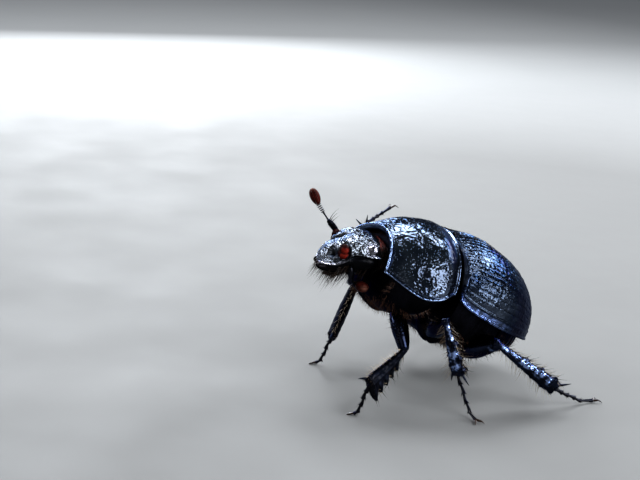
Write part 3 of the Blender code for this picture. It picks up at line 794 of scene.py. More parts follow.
def make_wing_case(name, side):
    callus = Vector((4.50, 0.72, 1.15))

    def shares(mark):
        """Shares from 0 to 1: from the suture to the side, along the mesh, and of the length."""
        s, t = crowd(mark.x + 0.5, 0.25), crowd(mark.y + 0.5, 0.45)
        return s, t, math.sin(t * ELYTRA_TIP_ANGLE)

    def surface(mark):
        s, t, u = shares(mark)
        across, up = rounded(s * math.pi / 2)
        x = SUTURE_GAP + (elytra_half_width(u) - SUTURE_GAP) * across
        y = ELYTRA_FRONT + ELYTRA_LENGTH * u - PRONOTUM_BACK_BULGE * (1 - u) * across**2
        z = elytra_margin(u) + elytra_crown(u) * up
        if abs(x) < SCUTELLUM_HALF_WIDTH and y < ELYTRA_FRONT + SCUTELLUM_LENGTH + 0.1:
            behind = ELYTRA_FRONT + (SCUTELLUM_LENGTH + 0.06) * (1 - (abs(x) / SCUTELLUM_HALF_WIDTH) ** 1.7)
            squeeze = smooth(1 - (y - ELYTRA_FRONT) / 2.2)
            y = max(y, lerp(y, behind, squeeze))
        return Vector((side * x, y, z))

    def relief(mark, place):
        s, t, u = shares(mark)
        arc = elytra_arc(u)
        edge, suture = (1 - s) * arc, s * arc
        front = place.y - ELYTRA_FRONT + 0.16
        across = s / STRIPED_SHARE * STRIAE
        wander = 0.10 * noise.noise(place * 1.3 + Vector((9, 4, 2)))
        phase = (across + wander) % 1.0
        gap = min(phase, 1 - phase)
        striped = smooth((STRIPED_SHARE - s) / 0.03) * smooth((front - 0.10) / 0.12)
        spacing = arc / STRIAE
        deep = 0.032 * min(1.0, spacing / 0.35) * (0.55 + 0.45 * smooth((1.0 - t) / 0.35))
        row = 0.55 + 0.45 * math.cos(2 * math.pi * place.y / 0.21 + 1.7 * int(across))
        rise = -deep * bell(gap * spacing, 0.042) * (0.80 + 0.25 * row) * striped
        rise += 0.008 * (4 * phase * (1 - phase)) * striped
        wrinkled = Vector((place.x * 1.4, place.y * 5.5, place.z * 1.4 + int(across) * 3.1))
        rise += 0.030 * noise.noise(wrinkled) * striped
        rise += 0.012 * noise.noise(place * 4.2 + Vector((2, 7, 1))) * striped
        rise += 0.013 * noise.noise(place * 7.0 + Vector((6, 2, 5))) * striped
        rise += 0.020 * noise.noise(place * 0.8) * smooth(edge / 0.5)
        mirrored = Vector((abs(place.x), place.y, place.z))
        rise += 0.16 * bell((mirrored - callus).length, 0.38)
        rise -= 0.05 * bell((mirrored - callus - Vector((-0.6, 0.15, 0.5))).length, 0.35)
        rise += 0.060 * bell(suture - 0.10, 0.07) - 0.030 * bell(suture - 0.26, 0.05)
        rise += bead(edge, 0.10, 0.040, 0.030)
        rise += 0.060 * bell(edge - 0.40, 0.06) * smooth((3.4 - u * 3.6))
        rise -= 0.020 * bell(edge - 0.24, 0.10)
        uneven = 0.034 * noise.noise(place * 4.0) + 0.016 * noise.noise(place * 9.0)
        rise += uneven * bell(edge - 0.22, 0.16)
        rise += bead(front, 0.14, 0.040, 0.040)
        if striped > 0.3:
            rise += pits(place, 0.17, 0.054, 0.018, 0.60)
        return rise

    # The blue strip under the side keel is the wing case's own hue; its patches and its fading out towards
    # the tip are painted light.
    def margin(mark, place):
        s, t, u = shares(mark)
        edge = (1 - s) * elytra_arc(u)
        front = place.y - ELYTRA_FRONT + 0.16
        mottle = smooth(0.45 + 2.2 * noise.noise(place * 4.0)) * 0.85 + 0.15
        low_strip = smooth((0.36 - edge) / 0.08) * smooth((0.62 - u) / 0.35) * mottle
        return clamp(low_strip + 0.10 * bell(front - 0.05, 0.05))

    # Painted shade: the wing cases grow darker towards their tip.
    def painted_shade(mark, place):
        return 0.75 * smooth((shares(mark)[2] - 0.25) / 0.40)

    obj = mould(sheet(name + "_plate", 200, 170), surface, relief, margin, ELYTRA_WALL, painted_shade)
    finish(obj, TRUNK, ELYTRA_BLACK, "shell_black", name)


def make_scutellum():
    """The small shield between the bases of the wing cases."""
    top = elytra_margin(0.0) + elytra_crown(0.0)
    half = SCUTELLUM_HALF_WIDTH - 0.05

    def surface(mark):
        s, t = mark.x * 2, mark.y + 0.5
        width = half * (1 - t**1.7) ** 0.75 if t < 1 else 0.0
        y = ELYTRA_FRONT + 0.02 + (SCUTELLUM_LENGTH - 0.08) * t
        u = (y - ELYTRA_FRONT) / ELYTRA_LENGTH
        drop = top - elytra_margin(u) - elytra_crown(u)
        return Vector((s * width, y, top + 0.02 - drop - 0.10 * (s * width) ** 2))

    def relief(mark, place):
        edge = min(1 - abs(mark.x * 2), 0.5 - mark.y, mark.y + 0.5)
        return 0.05 * smooth(edge / 0.2) + pits(place, 0.16, 0.05, 0.015, 0.8)

    obj = mould(sheet("scutellum_plate", 50, 50), surface, relief, lambda mark, place: 0.25, 0.28)
    modify(obj, "WELD", merge_threshold=0.002)
    finish(obj, TRUNK, PRONOTUM_BLACK, "shell_black", "scutellum")


def trunk_surface(rings):
    """surface(turn, share) of the body under the plates, from rings(share).

    A ring is its place along the body, half width, crown, depth, height of the side and roundness.
    """
    known = {}

    def surface(turn, share, cap=1.0):
        key = round(share, 5)
        if key not in known:
            known[key] = rings(share)
        y, half, crown, depth, margin, power = known[key]
        across, up = rounded(turn, power)
        middle = margin + (crown - depth) / 2
        z = margin + (crown if up > 0 else depth) * up
        return Vector((half * across * cap, y, middle + (z - middle) * cap))

    surface.blunt = 0.30
    return surface


def prothorax_ring(share):
    t = 0.17 + 0.78 * share
    y = lerp(PRONOTUM_FRONT, PRONOTUM_BACK, t)
    depth = PROSTERNUM_DEPTH * (0.72 + 0.28 * math.sin(math.pi * min(1.0, t * 0.75)))
    half = min(pronotum_half_width(t), pronotum_half_width(min(1.0, t + 0.1))) - 0.46
    crown = min(pronotum_crown(t), pronotum_crown(max(0.0, t - 0.1))) - 0.52
    return y, half, crown, depth, pronotum_margin(t), PRONOTUM_ROUNDNESS


def hindbody_ring(u):
    inset = ELYTRA_WALL + 0.12
    ahead = min(1.0, u + inset / ELYTRA_LENGTH)
    half = max(0.12, min(elytra_half_width(u), elytra_half_width(ahead)) - inset)
    crown = max(0.10, min(elytra_crown(u), elytra_crown(ahead)) - inset)
    y = ELYTRA_FRONT + ELYTRA_LENGTH * u
    return y, half, crown, sample(HINDBODY_DEPTHS, u)[0], elytra_margin(u), ROUNDNESS


def belly_line(place, at, depth, width):
    """A groove across the belly that leans back towards the sides."""
    return -depth * bell(place.y - at - 0.035 * place.x**2, width)


PROTHORAX = trunk_surface(prothorax_ring)
HIND_THORAX = trunk_surface(lambda share: hindbody_ring(WAIST * share))
ABDOMEN = trunk_surface(lambda share: hindbody_ring(WAIST + 0.01 + (0.955 - WAIST) * share))


def make_trunk():
    def chest(turn, share, place):
        rise = 0.03 * noise.noise(place * 1.5) + pits(place, 0.22, 0.075, 0.03, 0.8)
        if place.z < 0:
            rise += 0.16 * bell(place.x, 0.28) - 0.08 * bell(abs(place.x) - 0.55, 0.15)
        return rise

    def breast(turn, share, place):
        rise = 0.03 * noise.noise(place * 1.2) + pits(place, 0.22, 0.07, 0.025, 0.7)
        if place.z < -1:
            rise += belly_line(place, 1.70, 0.12, 0.09) - 0.07 * bell(place.x, 0.09)
        return rise

    def belly(turn, share, place):
        rise = 0.015 * noise.noise(place * 2.5) + pits(place, 0.19, 0.06, 0.02, 0.75)
        if place.z < elytra_margin(clamp((place.y - ELYTRA_FRONT) / ELYTRA_LENGTH)) + 0.2:
            for i in range(BELLY_SEGMENTS):
                at = 4.75 + 0.62 * i
                rise += belly_line(place, at, 0.085, 0.05) + 0.03 * bell(place.y - at + 0.14, 0.10)
        return rise

    def tip(turn, share, place):
        return clamp(smooth((share - 0.80) / 0.2) * 1.2)

    for name, surface, relief, margin in (
        ("prothorax", PROTHORAX, chest, None),
        ("hind_thorax", HIND_THORAX, breast, None),
        ("abdomen", ABDOMEN, belly, tip),
    ):
        obj = skin(name + "_body", surface, 130, 90, relief, margin)
        finish(obj, TRUNK, BELLY_BLACK, "shell_black", name)
    for leg, (place, radii, turn) in COXAE.items():
        for name, side in (("left", 1), ("right", -1)):
            middle = Vector((side * place[0], place[1], place[2]))
            lean = Euler([math.radians(a) for a in (turn[0], side * turn[1], side * turn[2])]).to_matrix()

            def surface(mark):
                pinch = 1 - 0.10 * bell(mark.x * side - 0.55, 0.10)
                return middle + lean @ Vector([m * r * pinch for m, r in zip(mark, radii)])

            def relief(mark, at):
                return pits(at, 0.17, 0.06, 0.02, 0.8) + 0.02 * noise.noise(at * 2)

            obj = mould(ball("coxa_%s_%s" % (leg, name), 56, 40), surface, relief)
            finish(obj, TRUNK, BELLY_BLACK, "leg_black")


# Head


def head_station(forward):
    """Half width, top, bottom and height of the side edge, this far in front of the neck."""
    return sample(HEAD_STATIONS, clamp(forward, HEAD_STATIONS[0][0], HEAD_STATIONS[-1][0]))


def head_surface(turn, share, cap=1.0):
    forward = lerp(HEAD_FRONT, HEAD_BACK, share)
    half, top, bottom, edge = head_station(forward)
    across, up = rounded(turn)
    z = edge + ((top - edge) if up > 0 else (edge - bottom)) * up * cap
    lip = 1 + 0.05 * bell(abs(across) - 1, 0.15) * smooth((forward - 1.9) / 0.4)
    return Vector((half * across * lip * cap, -forward, z))


head_surface.blunt = 0.30


def head_places(place):
    """A place on the head: forward, side, height of the side edge, distances to rim and suture."""
    forward, side = -place.y, abs(place.x)
    half, top, bottom, edge = head_station(forward)
    suture = forward - sample(SUTURE, clamp(side, 0.0, 1.9))[0]
    return forward, side, edge, math.hypot(half - side, place.z - edge), suture


def socket_distance(place):
    """0 in the middle of an eye's socket and 1 at its rim."""
    return math.hypot((place.y - EYE_PLACE.y) / 0.36, (place.z - EYE_PLACE.z) / 0.50)


def line_distance(x, y, points):
    """The distance from (x, y) to a line through points on a plane."""
    best = 9.0
    for (x0, y0), (x1, y1) in zip(points, points[1:]):
        t = clamp(((x - x0) * (x1 - x0) + (y - y0) * (y1 - y0)) / ((x1 - x0) ** 2 + (y1 - y0) ** 2))
        best = min(best, math.hypot(x - lerp(x0, x1, t), y - lerp(y0, y1, t)))
    return best


def head_relief(turn, share, place):
    forward, side, edge, rim, ahead = head_places(place)
    half = head_station(forward)[0]
    mirrored = Vector((side, place.y, place.z))
    rise = 0.010 * noise.noise(place * 2.2)
    above = smooth((place.z - edge + 0.05) / 0.15)
    plate = smooth((forward - 1.75) / 0.4)
    if above > 0:
        inside = smooth((rim - 0.16) / 0.22)
        brow = line_distance(side, forward, BROW_GROOVE)
        top_side = -0.085 * bell(ahead, 0.065) * smooth((1.9 - side) / 0.4)
        top_side += 0.150 * smooth((0.02 - ahead) / 0.16) * smooth((forward - 0.9) / 0.9) * inside
        swelling = bell(forward - 2.85, 0.42) * bell(side, 1.1) * inside
        top_side += 0.170 * smooth((ahead - 0.04) / 0.30) * swelling
        top_side -= 0.075 * bell(rim - 0.30, 0.10) * plate
        top_side -= 0.120 * bell(brow, 0.085)
        top_side += 0.060 * bell(math.hypot(side - 1.15, (forward - 1.55) * 0.8), 0.42)
        top_side -= 0.320 * bell(line_distance(side, forward, CANTHUS_WEDGE), 0.20)
        top_side += 0.150 * bell((mirrored - TEMPLE_BUMP).length / 0.34, 1.0) ** 1.5
        top_side -= 0.090 * bell((mirrored - TEMPLE_BUMP).length - 0.46, 0.11) * smooth((1.1 - forward) / 0.3)
        rough = noise.noise(place * 5.0 + Vector((5, 2, 8)))
        fine = noise.noise(place * 11.0 + Vector((3, 3, 5)))
        knobs = 0.5 - abs(noise.noise(place * 3.4 + Vector((1, 6, 3))))
        bare = 1 - bell((mirrored - TEMPLE_BUMP).length, 0.34)
        frons = smooth(-ahead / 0.15) * smooth((forward - 0.10) / 0.4) * smooth((rim - 0.10) / 0.15) * bare
        top_side += (0.040 * rough + 0.050 * knobs + 0.030 * fine) * frons
        top_side += (0.032 * rough + 0.036 * fine) * smooth(ahead / 0.2) * smooth((rim - 0.2) / 0.1)
        top_side += pits(place, 0.13, 0.048, 0.026, 0.90) * smooth((rim - 0.2) / 0.1) * bare
        rise += top_side * above
    rise += bead(rim, 0.11, 0.080, 0.050) * plate * smooth((place.z - edge + 0.10) / 0.08)
    keel = smooth((1.78 - forward) / 0.2) * smooth((forward + 0.30) / 0.12)
    keel *= smooth((side - half + 0.5) / 0.3)
    keel_height = place.z - edge - 0.10 * (forward - 0.1)
    rise += 0.170 * bell(keel_height, 0.080) * keel
    rise -= 0.130 * bell(keel_height + 0.23, 0.110) * keel
    rise += 0.120 * bell((mirrored - TEMPLE_CORNER).length, 0.20)
    rise -= 0.160 * bell(forward + 0.42, 0.15) * smooth((side - 1.2) / 0.3)
    socket = socket_distance(place)
    if side > 1.5:
        rise += 0.050 * bell(socket - 1.32, 0.18) - 0.110 * smooth((1.16 - socket) / 0.25)
    if place.z < edge - 0.1:
        rise += pits(place, 0.20, 0.06, 0.02, 0.6) + 0.02 * noise.noise(place * 1.8)
    return rise


# Painted highlight: the pale rim hue along the clypeus rim and over the temple bump.
def head_painted_highlight(turn, share, place):
    forward, side, edge, rim, ahead = head_places(place)
    temple = (Vector((side, place.y, place.z)) - TEMPLE_BUMP).length
    return clamp(0.7 * bell(rim - 0.05, 0.075) * smooth((forward - 1.7) / 0.3) + 0.8 * bell(temple, 0.40))


# Painted shade: darker in the canthus wedge, the brow groove, a ring round each eye and under the side edge
# of the head.
def head_painted_shade(turn, share, place):
    forward, side, edge, rim, ahead = head_places(place)
    socket = socket_distance(place)
    wedge = bell(line_distance(side, forward, CANTHUS_WEDGE), 0.27) * smooth((place.z - edge) / 0.1)
    groove = 0.95 * bell(line_distance(side, forward, BROW_GROOVE), 0.085) * smooth((place.z - edge) / 0.1)
    round_eye = 0.95 * bell(socket - 1.15, 0.26) * smooth((side - 1.4) / 0.2)
    under = smooth((edge - 0.03 - place.z) / 0.10)
    return clamp(max(wedge, groove, round_eye, under))


def make_head():
    obj = skin("head_capsule", head_surface, 280, 170, head_relief, head_painted_highlight, head_painted_shade)
    finish(obj, HEAD, HEAD_BLACK, "shell_black", "head")


def make_neck():
    """The soft red-brown skin between the head and the pronotum."""

    def surface(turn, share, cap=1.0):
        place = head_surface(turn, lerp(0.84, 0.98, share))
        middle = Vector((0, place.y, -0.2))
        return middle + (place - middle) * 1.035 * cap

    def folds(turn, share, place):
        return 0.035 * math.sin(26 * share) + 0.03 * noise.noise(place * 4)

    # Painted shade: the skin goes to near black towards its lower side.
    def shade_below(turn, share, place):
        return smooth((0.50 - place.z) / 0.30)

    surface.blunt = 0.25
    obj = skin("neck_membrane", surface, 80, 50, folds, None, shade_below)
    finish(obj, HEAD, MEMBRANE, "leg_black")


def make_eye(name, side):
    middle = Vector((side * EYE_PLACE.x, EYE_PLACE.y, EYE_PLACE.z))
    lean = Matrix.Rotation(math.radians(side * EYE_TURN), 3, "Y")

    def surface(mark):
        pinch = 1 - 0.15 * bell(mark.z - 0.02, 0.22)
        lobe = 1.02 if mark.z < 0 else 0.97
        across = mark.x * EYE_RADII.x * pinch
        up = mark.y * EYE_RADII.y * pinch * lobe
        return middle + lean @ Vector((across, up, mark.z * EYE_RADII.z))

    # Painted shade: the eye darkens at its top and front border and on its inner side; the dark band between
    # the lobes is where the canthus crosses it.
    def margin(mark, place):
        behind = 1 - smooth((mark.x * side - 0.15) / 0.70)
        rim = smooth((mark.z - 0.62) / 0.25) + smooth((-mark.y - 0.56) / 0.25)
        return clamp(behind + 0.75 * bell(mark.z - 0.02, 0.13) + 0.9 * rim)

    obj = mould(ball(name + "_lobes", 72, 54), surface, None, margin)
    finish(obj, HEAD, EYE_RED, "eye_red", name)


def jaw_surface(side):
    return line_surface([Vector((side * x, y, z)) for x, y, z in MANDIBLE_LINE], MANDIBLE_RADII, 0.72)


def palp_surface(side):
    return line_surface([Vector((side * x, y, z)) for x, y, z in PALP_LINE], PALP_RADII)


def make_mouth():
    """The labrum, and on each side a mandible and a palp."""

    def lip(mark):
        notch = 0.10 * bell(mark.x, 0.35) if mark.y < 0 else 0.0
        x, y, z = (mark[i] * LABRUM_RADII[i] for i in range(3))
        return LABRUM_PLACE + Vector((x, y + notch, z))

    def lip_relief(mark, place):
        return pits(place, 0.15, 0.05, 0.02, 0.8)

    obj = mould(ball("labrum_plate", 48, 32), lip, lip_relief, lambda mark, place: clamp(-mark.y))
    finish(obj, HEAD, JAW_BLACK, "shell_black", "labrum")
    for name, side in (("left", 1), ("right", -1)):

        def jaw(turn, share, place):
            return 0.05 * bell(math.sin(turn) * side - 1, 0.25) + 0.012 * noise.noise(place * 3)

        def jaw_edge(turn, share, place):
            return clamp(0.8 * bell(math.sin(turn) * side - 1, 0.5) + smooth((share - 0.8) / 0.2))

        obj = skin("mandible_%s_horn" % name, jaw_surface(side), 40, 60, jaw, jaw_edge)
        finish(obj, HEAD, JAW_BLACK, "shell_black", "mandible_" + name)

        def joints(turn, share, place):
            return -0.055 * bell(share - 0.30, 0.035) - 0.055 * bell(share - 0.62, 0.035)

        def paler_tip(turn, share, place):
            return share * 0.6

        obj = skin("palp_%s_joints" % name, palp_surface(side), 24, 60, joints, paler_tip)
        finish(obj, HEAD, FOOT_BLACK, "leg_black", "palp_" + name)


def cup(name, middle, along, radius, length, flare=0.35):
    """A small bead of a feeler, wider at its far end."""
    side = along.orthogonal().normalized()
    square = along.cross(side)

    def surface(mark):
        swell = radius * (1 + flare * mark.z)
        return middle + (side * mark.x + square * mark.y) * swell + along * mark.z * length / 2

    return mould(ball(name, 20, 14), surface)


def antenna_lines(name):
    """The bent first joint as a horn, and the elbow, neck and tip of an antenna."""
    *first_joint, elbow, neck, tip = (Vector(place) for place in ANTENNAE[name])
    radii = [0.12] + [0.15] * (len(first_joint) - 2) + [0.19, 0.20]
    return line_surface(first_joint + [elbow], radii, blunt=0.5), first_joint[-1], elbow, neck, tip


def make_antenna(name):
    scape, bend, elbow, neck, tip = antenna_lines(name)
    away = (elbow - bend).normalized()

    def dents(turn, share, place):
        return 0.010 * noise.noise(place * 5) + pits(place, 0.14, 0.04, 0.015, 0.7)

    first = skin("antenna_stalk_%s_joints" % name, scape, 30, 60, dents)
    along = (neck - elbow).normalized()
    length = (neck - elbow).length
    line = [elbow - away * 0.05, elbow.lerp(neck, 0.28), elbow.lerp(neck, 0.56)]
    stem = line_surface(line, [0.085, 0.055, 0.065])
    parts = [skin("stem", stem, 16, 20), cup("node", elbow + away * 0.03, along, 0.15, 0.26, -0.15)]
    for i in range(5):
        at = 0.56 + 0.105 * i
        parts.append(cup("bead", elbow.lerp(neck, at + 0.02), along, 0.140 + 0.012 * i, length * 0.072, 0.2))
    obj = join(first, *parts)
    finish(obj, HEAD, FOOT_BLACK, "leg_black", "antenna_stalk_" + name)

    along, edge, square = limb_axes(neck, tip, Vector((1, 0, 0)))
    middle = (neck + tip) / 2
    half = (tip - neck).length / 2
    leaves = []
    for low, high in CLUB_LEAVES:

        def surface(mark, low=low, high=high):
            swell = 1.04 + 0.08 * mark.z
            wide = mark.x * CLUB_WIDTH / 2 * swell
            out = clamp(mark.y * CLUB_THICKNESS / 2 * swell, low, high)
            return middle + edge * wide + square * out + along * mark.z * half

        def rim(mark, place):
            return 0.75 * smooth((mark.z - 0.55) / 0.3) * bell(math.hypot(mark.x, mark.y), 0.5)

        leaves.append(mould(ball("antenna_club_%s_leaves" % name, 40, 60), surface, None, rim))
    obj = join(leaves[1], leaves[0], leaves[2])
    obj.name = "antenna_club_%s_leaves" % name
    finish(obj, HEAD, CLUB_RED, "club_red", "antenna_club_" + name)


# Legs


def leg_joints(leg):
    """The kind of a leg, its coxa, knee and ankle, and the way of its toothed edge."""
    coxa, knee, ankle, foot, outward = (Vector(joint) for joint in LEGS[leg])
    return leg.split("_")[0], coxa, knee, ankle, outward


def leg_foot(leg):
    """The heel and the end of a leg's foot, and whether it is lifted."""
    ankle, foot = Vector(LEGS[leg][2]), Vector(LEGS[leg][3])
    lifted = foot.z > 1.0
    heel = foot.lerp(ankle, 0.32)
    if not lifted:
        heel.z = foot.z + (ankle.z - foot.z) * 0.11 - SOLE_DROP
        foot.z -= SOLE_DROP
    return heel, foot, lifted


def femur_surface(leg):
    kind, coxa, knee, ankle, outward = leg_joints(leg)
    return limb_surface(coxa, knee, outward, FEMUR_SHAPE, FEMUR_WIDTH[kind], FEMUR_THICKNESS[kind])


def tibia_surface(leg):
    kind, coxa, knee, ankle, outward = leg_joints(leg)
    count, first, step, size = TEETH[kind]
    width, length = TIBIA_WIDTH[kind], (ankle - knee).length
    teeth = []
    for i in range(count):
        share = first - step * i
        tip = 0.1 + width * (0.2 + 0.24 * share) + size * (1 - 0.6 * i / count) * 0.75
        reach = tip - sample(TIBIA_SHAPE, share)[0] * width / 2
        teeth.append((length * share - reach * 0.2, reach, min(0.30, length * step * 0.48)))
    return limb_surface(knee, ankle, outward, TIBIA_SHAPE, width, TIBIA_THICKNESS, 2.2, 0.35, teeth)


def spur_lines(leg):
    """The middle lines of the spurs at the end of a tibia."""
    kind, coxa, knee, ankle, outward = leg_joints(leg)
    along, edge, flat = limb_axes(knee, ankle, outward)
    lines = []
    for ahead, out, lean in SPURS[kind]:
        start = ankle - along * 0.18 + edge * math.copysign(0.28, out)
        way = (along * ahead + edge * out + flat * lean).normalized() * SPUR_LENGTH[kind]
        lines.append([start - way * 0.15, start + way * 0.45 - edge * 0.03, start + way])
    return lines


def make_femur(leg):
    kind, coxa, knee, ankle, outward = leg_joints(leg)
    flat = limb_axes(knee, ankle, outward)[2]

    def thigh(turn, share, place):
        return 0.015 * noise.noise(place * 1.8) + pits(place, 0.17, 0.055, 0.020, 0.55)

    # Painted highlight: a blue-white strip along the front femur's outer edge and blue-white spots near the
    # hind knee.
    def thigh_painted_highlight(turn, share, place):
        if kind == "front":
            outside = math.cos(turn) * math.copysign(1.0, flat.x * knee.x)
            edging = bell(math.sin(turn) - 0.93, 0.07) * smooth(outside / 0.2)
            return edging * smooth((share - 0.35) / 0.1) * smooth((0.93 - share) / 0.08)
        spots = smooth(4.0 * noise.noise(place * 3.5) - 0.6)
        return 0.6 * spots * smooth((share - 0.80) / 0.12) if kind == "hind" else 0.0

    obj = skin("femur_%s_skin" % leg, femur_surface(leg), 60, 60, thigh, thigh_painted_highlight)
    finish(obj, FLOOR, LEG_BLACK, "leg_black", "femur_" + leg)


def make_tibia(leg):
    kind, coxa, knee, ankle, outward = leg_joints(leg)
    along, edge, flat = limb_axes(knee, ankle, outward)
    length = (ankle - knee).length

    def shin(turn, share, place):
        at, out = (place - knee).dot(along), (place - knee).dot(edge)
        rise = 0.030 * noise.noise(place * 3.6) + pits(place, 0.15, 0.050, 0.022, 0.7)
        facing = abs(math.cos(turn))
        if kind == "front":
            rise += 0.055 * bell(out - 0.10, 0.07) * facing
            rise -= 0.030 * bell(out + 0.08, 0.07) * facing
        else:
            rise += 0.045 * bell(out - 0.20 - 0.05 * share, 0.06) * facing
            rise += 0.045 * bell(out + 0.22, 0.06) * facing
            for ring in (0.42, 0.64, 0.84):
                rise += 0.060 * bell(at - ring * length - 0.35 * out, 0.055)
        rise += 0.045 * bell(share - 0.975, 0.018)
        return rise

    def shin_blue_and_painted_highlight(turn, share, place):
        """Partly the tibia's own blue and partly painted highlight: blue to white patches on the outer face,
        narrow at the knee, that leave both edges black.
        """
        facing = math.cos(turn) * math.copysign(1.0, flat.x * knee.x)
        bare = 0.40 if kind == "middle" else 0.70
        patches = smooth(bare + 1.8 * noise.noise(place * 2.6)) * smooth(0.8 + 2.8 * noise.noise(place * 6.5))
        out = (place - knee).dot(edge)
        low, high = (-0.22, 0.48) if kind == "middle" else (0.00, 0.62)
        band = smooth((out - low) / 0.14) * smooth((high - out) / 0.14)
        ends = smooth((share - 0.06) / 0.06) * smooth((0.90 - share) / 0.06)
        strength = 0.05 if kind == "front" else 1.25
        return clamp(strength * smooth((facing - 0.05) / 0.4) * patches * band * ends)

    # Painted shade: the front tibia is darkened all over.
    def shin_painted_shade(turn, share, place):
        return 0.75 if kind == "front" else 0.0

    obj = skin("tibia_%s_skin" % leg, tibia_surface(leg), 64, 130, shin, shin_blue_and_painted_highlight, shin_painted_shade)
    spurs = [skin("spur", line_surface(line, [0.085, 0.070, 0.014]), 16, 26) for line in spur_lines(leg)]
    for spur in spurs:
        paint(spur, "margin", [0.0] * len(spur.data.vertices))
    obj = join(obj, *spurs)
    finish(obj, FLOOR, LEG_BLACK, "leg_black", "tibia_" + leg)


def make_foot(leg):
    """Four short joints, each wider at its end, and a longer one that carries the claws."""
    kind, coxa, knee, ankle, outward = leg_joints(leg)
    heel, foot, lifted = leg_foot(leg)
    sideways = (ankle - knee).normalized().cross(heel - ankle).normalized()
    parts = []
    for i in range(4):
        start, end = ankle.lerp(heel, i / 4 + 0.01), ankle.lerp(heel, (i + 1) / 4 + 0.02)
        bow = sideways * 0.03 * (-1) ** i
        swell = TARSUS_RADIUS * (1.10 - 0.06 * i)
        radii = [swell * 0.60, swell * 0.85, swell * 1.25]
        joint = line_surface([start, start.lerp(end, 0.6) + bow, end], radii)
        parts.append(skin("tarsus_%s_joints" % leg, joint, 20, 18))
    last = line_surface([heel, heel.lerp(foot, 0.6), foot], [0.065, 0.095, 0.120])
    parts.append(skin("toe", last, 20, 20))
    obj = join(*parts)
    finish(obj, FLOOR, FOOT_BLACK, "leg_black", "tarsus_" + leg)


def make_claws(leg):
    heel, foot, lifted = leg_foot(leg)
    ahead = (foot - heel).normalized()
    sideways = ahead.cross(Vector((0, 0, 1))).normalized()
    upward = sideways.cross(ahead)
    claws = []
    for way in (1, -1):
        bend = foot + ahead * CLAW_LENGTH * 0.50 + sideways * way * 0.24 + upward * 0.09
        tip = foot + ahead * CLAW_LENGTH * 0.92 + sideways * way * 0.33 - upward * 0.18
        if not lifted:
            tip.z = 0.031
        points = [foot - ahead * 0.08, foot + ahead * 0.12 + sideways * way * 0.12 + upward * 0.05, bend, tip]
        claws.append(skin("claws_" + leg, line_surface(points, [0.070, 0.075, 0.050, 0.010]), 14, 26))
    finish(join(*claws), FLOOR, CLAW_BROWN, "leg_black")


# Hairs and bristles


def bristle_pattern():
    """One tapered three-sided bristle, a unit long, with its places and faces."""
    cone = bpy.ops.mesh.primitive_cone_add
    obj = primitive("bristle", cone, vertices=3, radius1=1.0, radius2=0.0, depth=1.0)

    def cut():
        for height in (-0.22, 0.08, 0.32):
            bpy.ops.mesh.select_all(action="SELECT")
            bpy.ops.mesh.bisect(plane_co=(0, 0, height), plane_no=(0, 0, 1))

    edit(obj, cut)
    places = [(v.co.x, v.co.y, v.co.z + 0.5) for v in obj.data.vertices]
    faces = [tuple(polygon.vertices) for polygon in obj.data.polygons]
    bpy.data.objects.remove(obj, do_unlink=True)
    return places, faces


BRISTLE_PLACES, BRISTLE_FACES = bristle_pattern()
PATCH = 0.0015  # half the size of one hair's patch on the map of its skin


def brush(name, hairs, place, material, slot="leg_black"):
    """One mesh of many hairs: (root, direction, length, radius, droop, place on the skin's map)."""
    points, faces, patches = [], [], []
    for root, way, length, radius, droop, spot in hairs:
        side = way.orthogonal().normalized()
        square = way.cross(side)
        first = len(points)
        for x, y, z in BRISTLE_PLACES:
            taper = (1 - z * 0.55) if z < 1 else 1.0
            across = (side * x + square * y) * radius * taper
            points.append(root + way * (z * length) + droop * (z * z * length) + across)
            patches.append((spot[0] + x * PATCH, spot[1] + (z - 0.5) * 2 * PATCH))
        faces += [tuple(first + i for i in face) for face in BRISTLE_FACES]
    mesh = bpy.data.meshes.new(name)
    mesh.from_pydata(points, [], faces)
    bake_map = mesh.uv_layers.new(name="OFBake")
    for loop in mesh.loops:
        bake_map.data[loop.index].uv = patches[loop.vertex_index]
    obj = bpy.data.objects.new(name, mesh)
    bpy.context.scene.collection.objects.link(obj)
    return finish(obj, place, material, slot)


def roots(
    surface, spots, length, radius, lift, comb, droop=Vector((0, 0, 0)), uneven=0.25, lean=Vector((0, 0, 0))
):
    """Hairs on surface(turn, share) at the spots: raised by lift, combed along the limb, leaning one way."""
    hairs = []
    for turn, share in spots:
        root = surface(turn, share)
        around = surface(turn + 0.02, share) - surface(turn - 0.02, share)
        ahead = surface(turn, min(1.0, share + 0.01)) - surface(turn, max(0.0, share - 0.01))
        normal = around.cross(ahead).normalized()
        middle = surface(turn + math.pi, share)
        if normal.dot(root - middle) < 0:
            normal.negate()
        stray = Vector([RANDOM.gauss(0, 0.12) for _ in range(3)])
        way = (normal * lift + ahead.normalized() * comb + lean + stray).normalized()
        size = length * (1 + RANDOM.uniform(-uneven, uneven))
        spot = (0.05 + 0.9 * ((turn / (2 * math.pi)) % 1.0), 0.05 + 0.9 * share)
        hairs.append((root - normal * 0.03, way, size, radius, droop + stray * 0.5, spot))
    return hairs


def column(hairs, index, count):
    """Moves the hairs' places on their map into one of a few columns, one for each skin that they grow on."""
    return [(*hair[:5], ((index + hair[5][0]) / count, hair[5][1])) for hair in hairs]


def hair_tip(hair):
    root, way, length, radius, droop, spot = hair
    return root + (way + droop) * length


def strip(turn, low, high, count, spread=0.12):
    """Spots in a row along a limb at about this turn."""
    return [
        (turn + RANDOM.gauss(0, spread), lerp(low, high, (i + RANDOM.random()) / count)) for i in range(count)
    ]


def patch(turn_low, turn_high, low, high, count):
    """Spots strewn over a part of a limb."""
    return [(RANDOM.uniform(turn_low, turn_high), RANDOM.uniform(low, high)) for _ in range(count)]


SETA_WAY = Vector((0.0, 0.22, 0.97))  # how the long setae of a feeler stand on its first joint


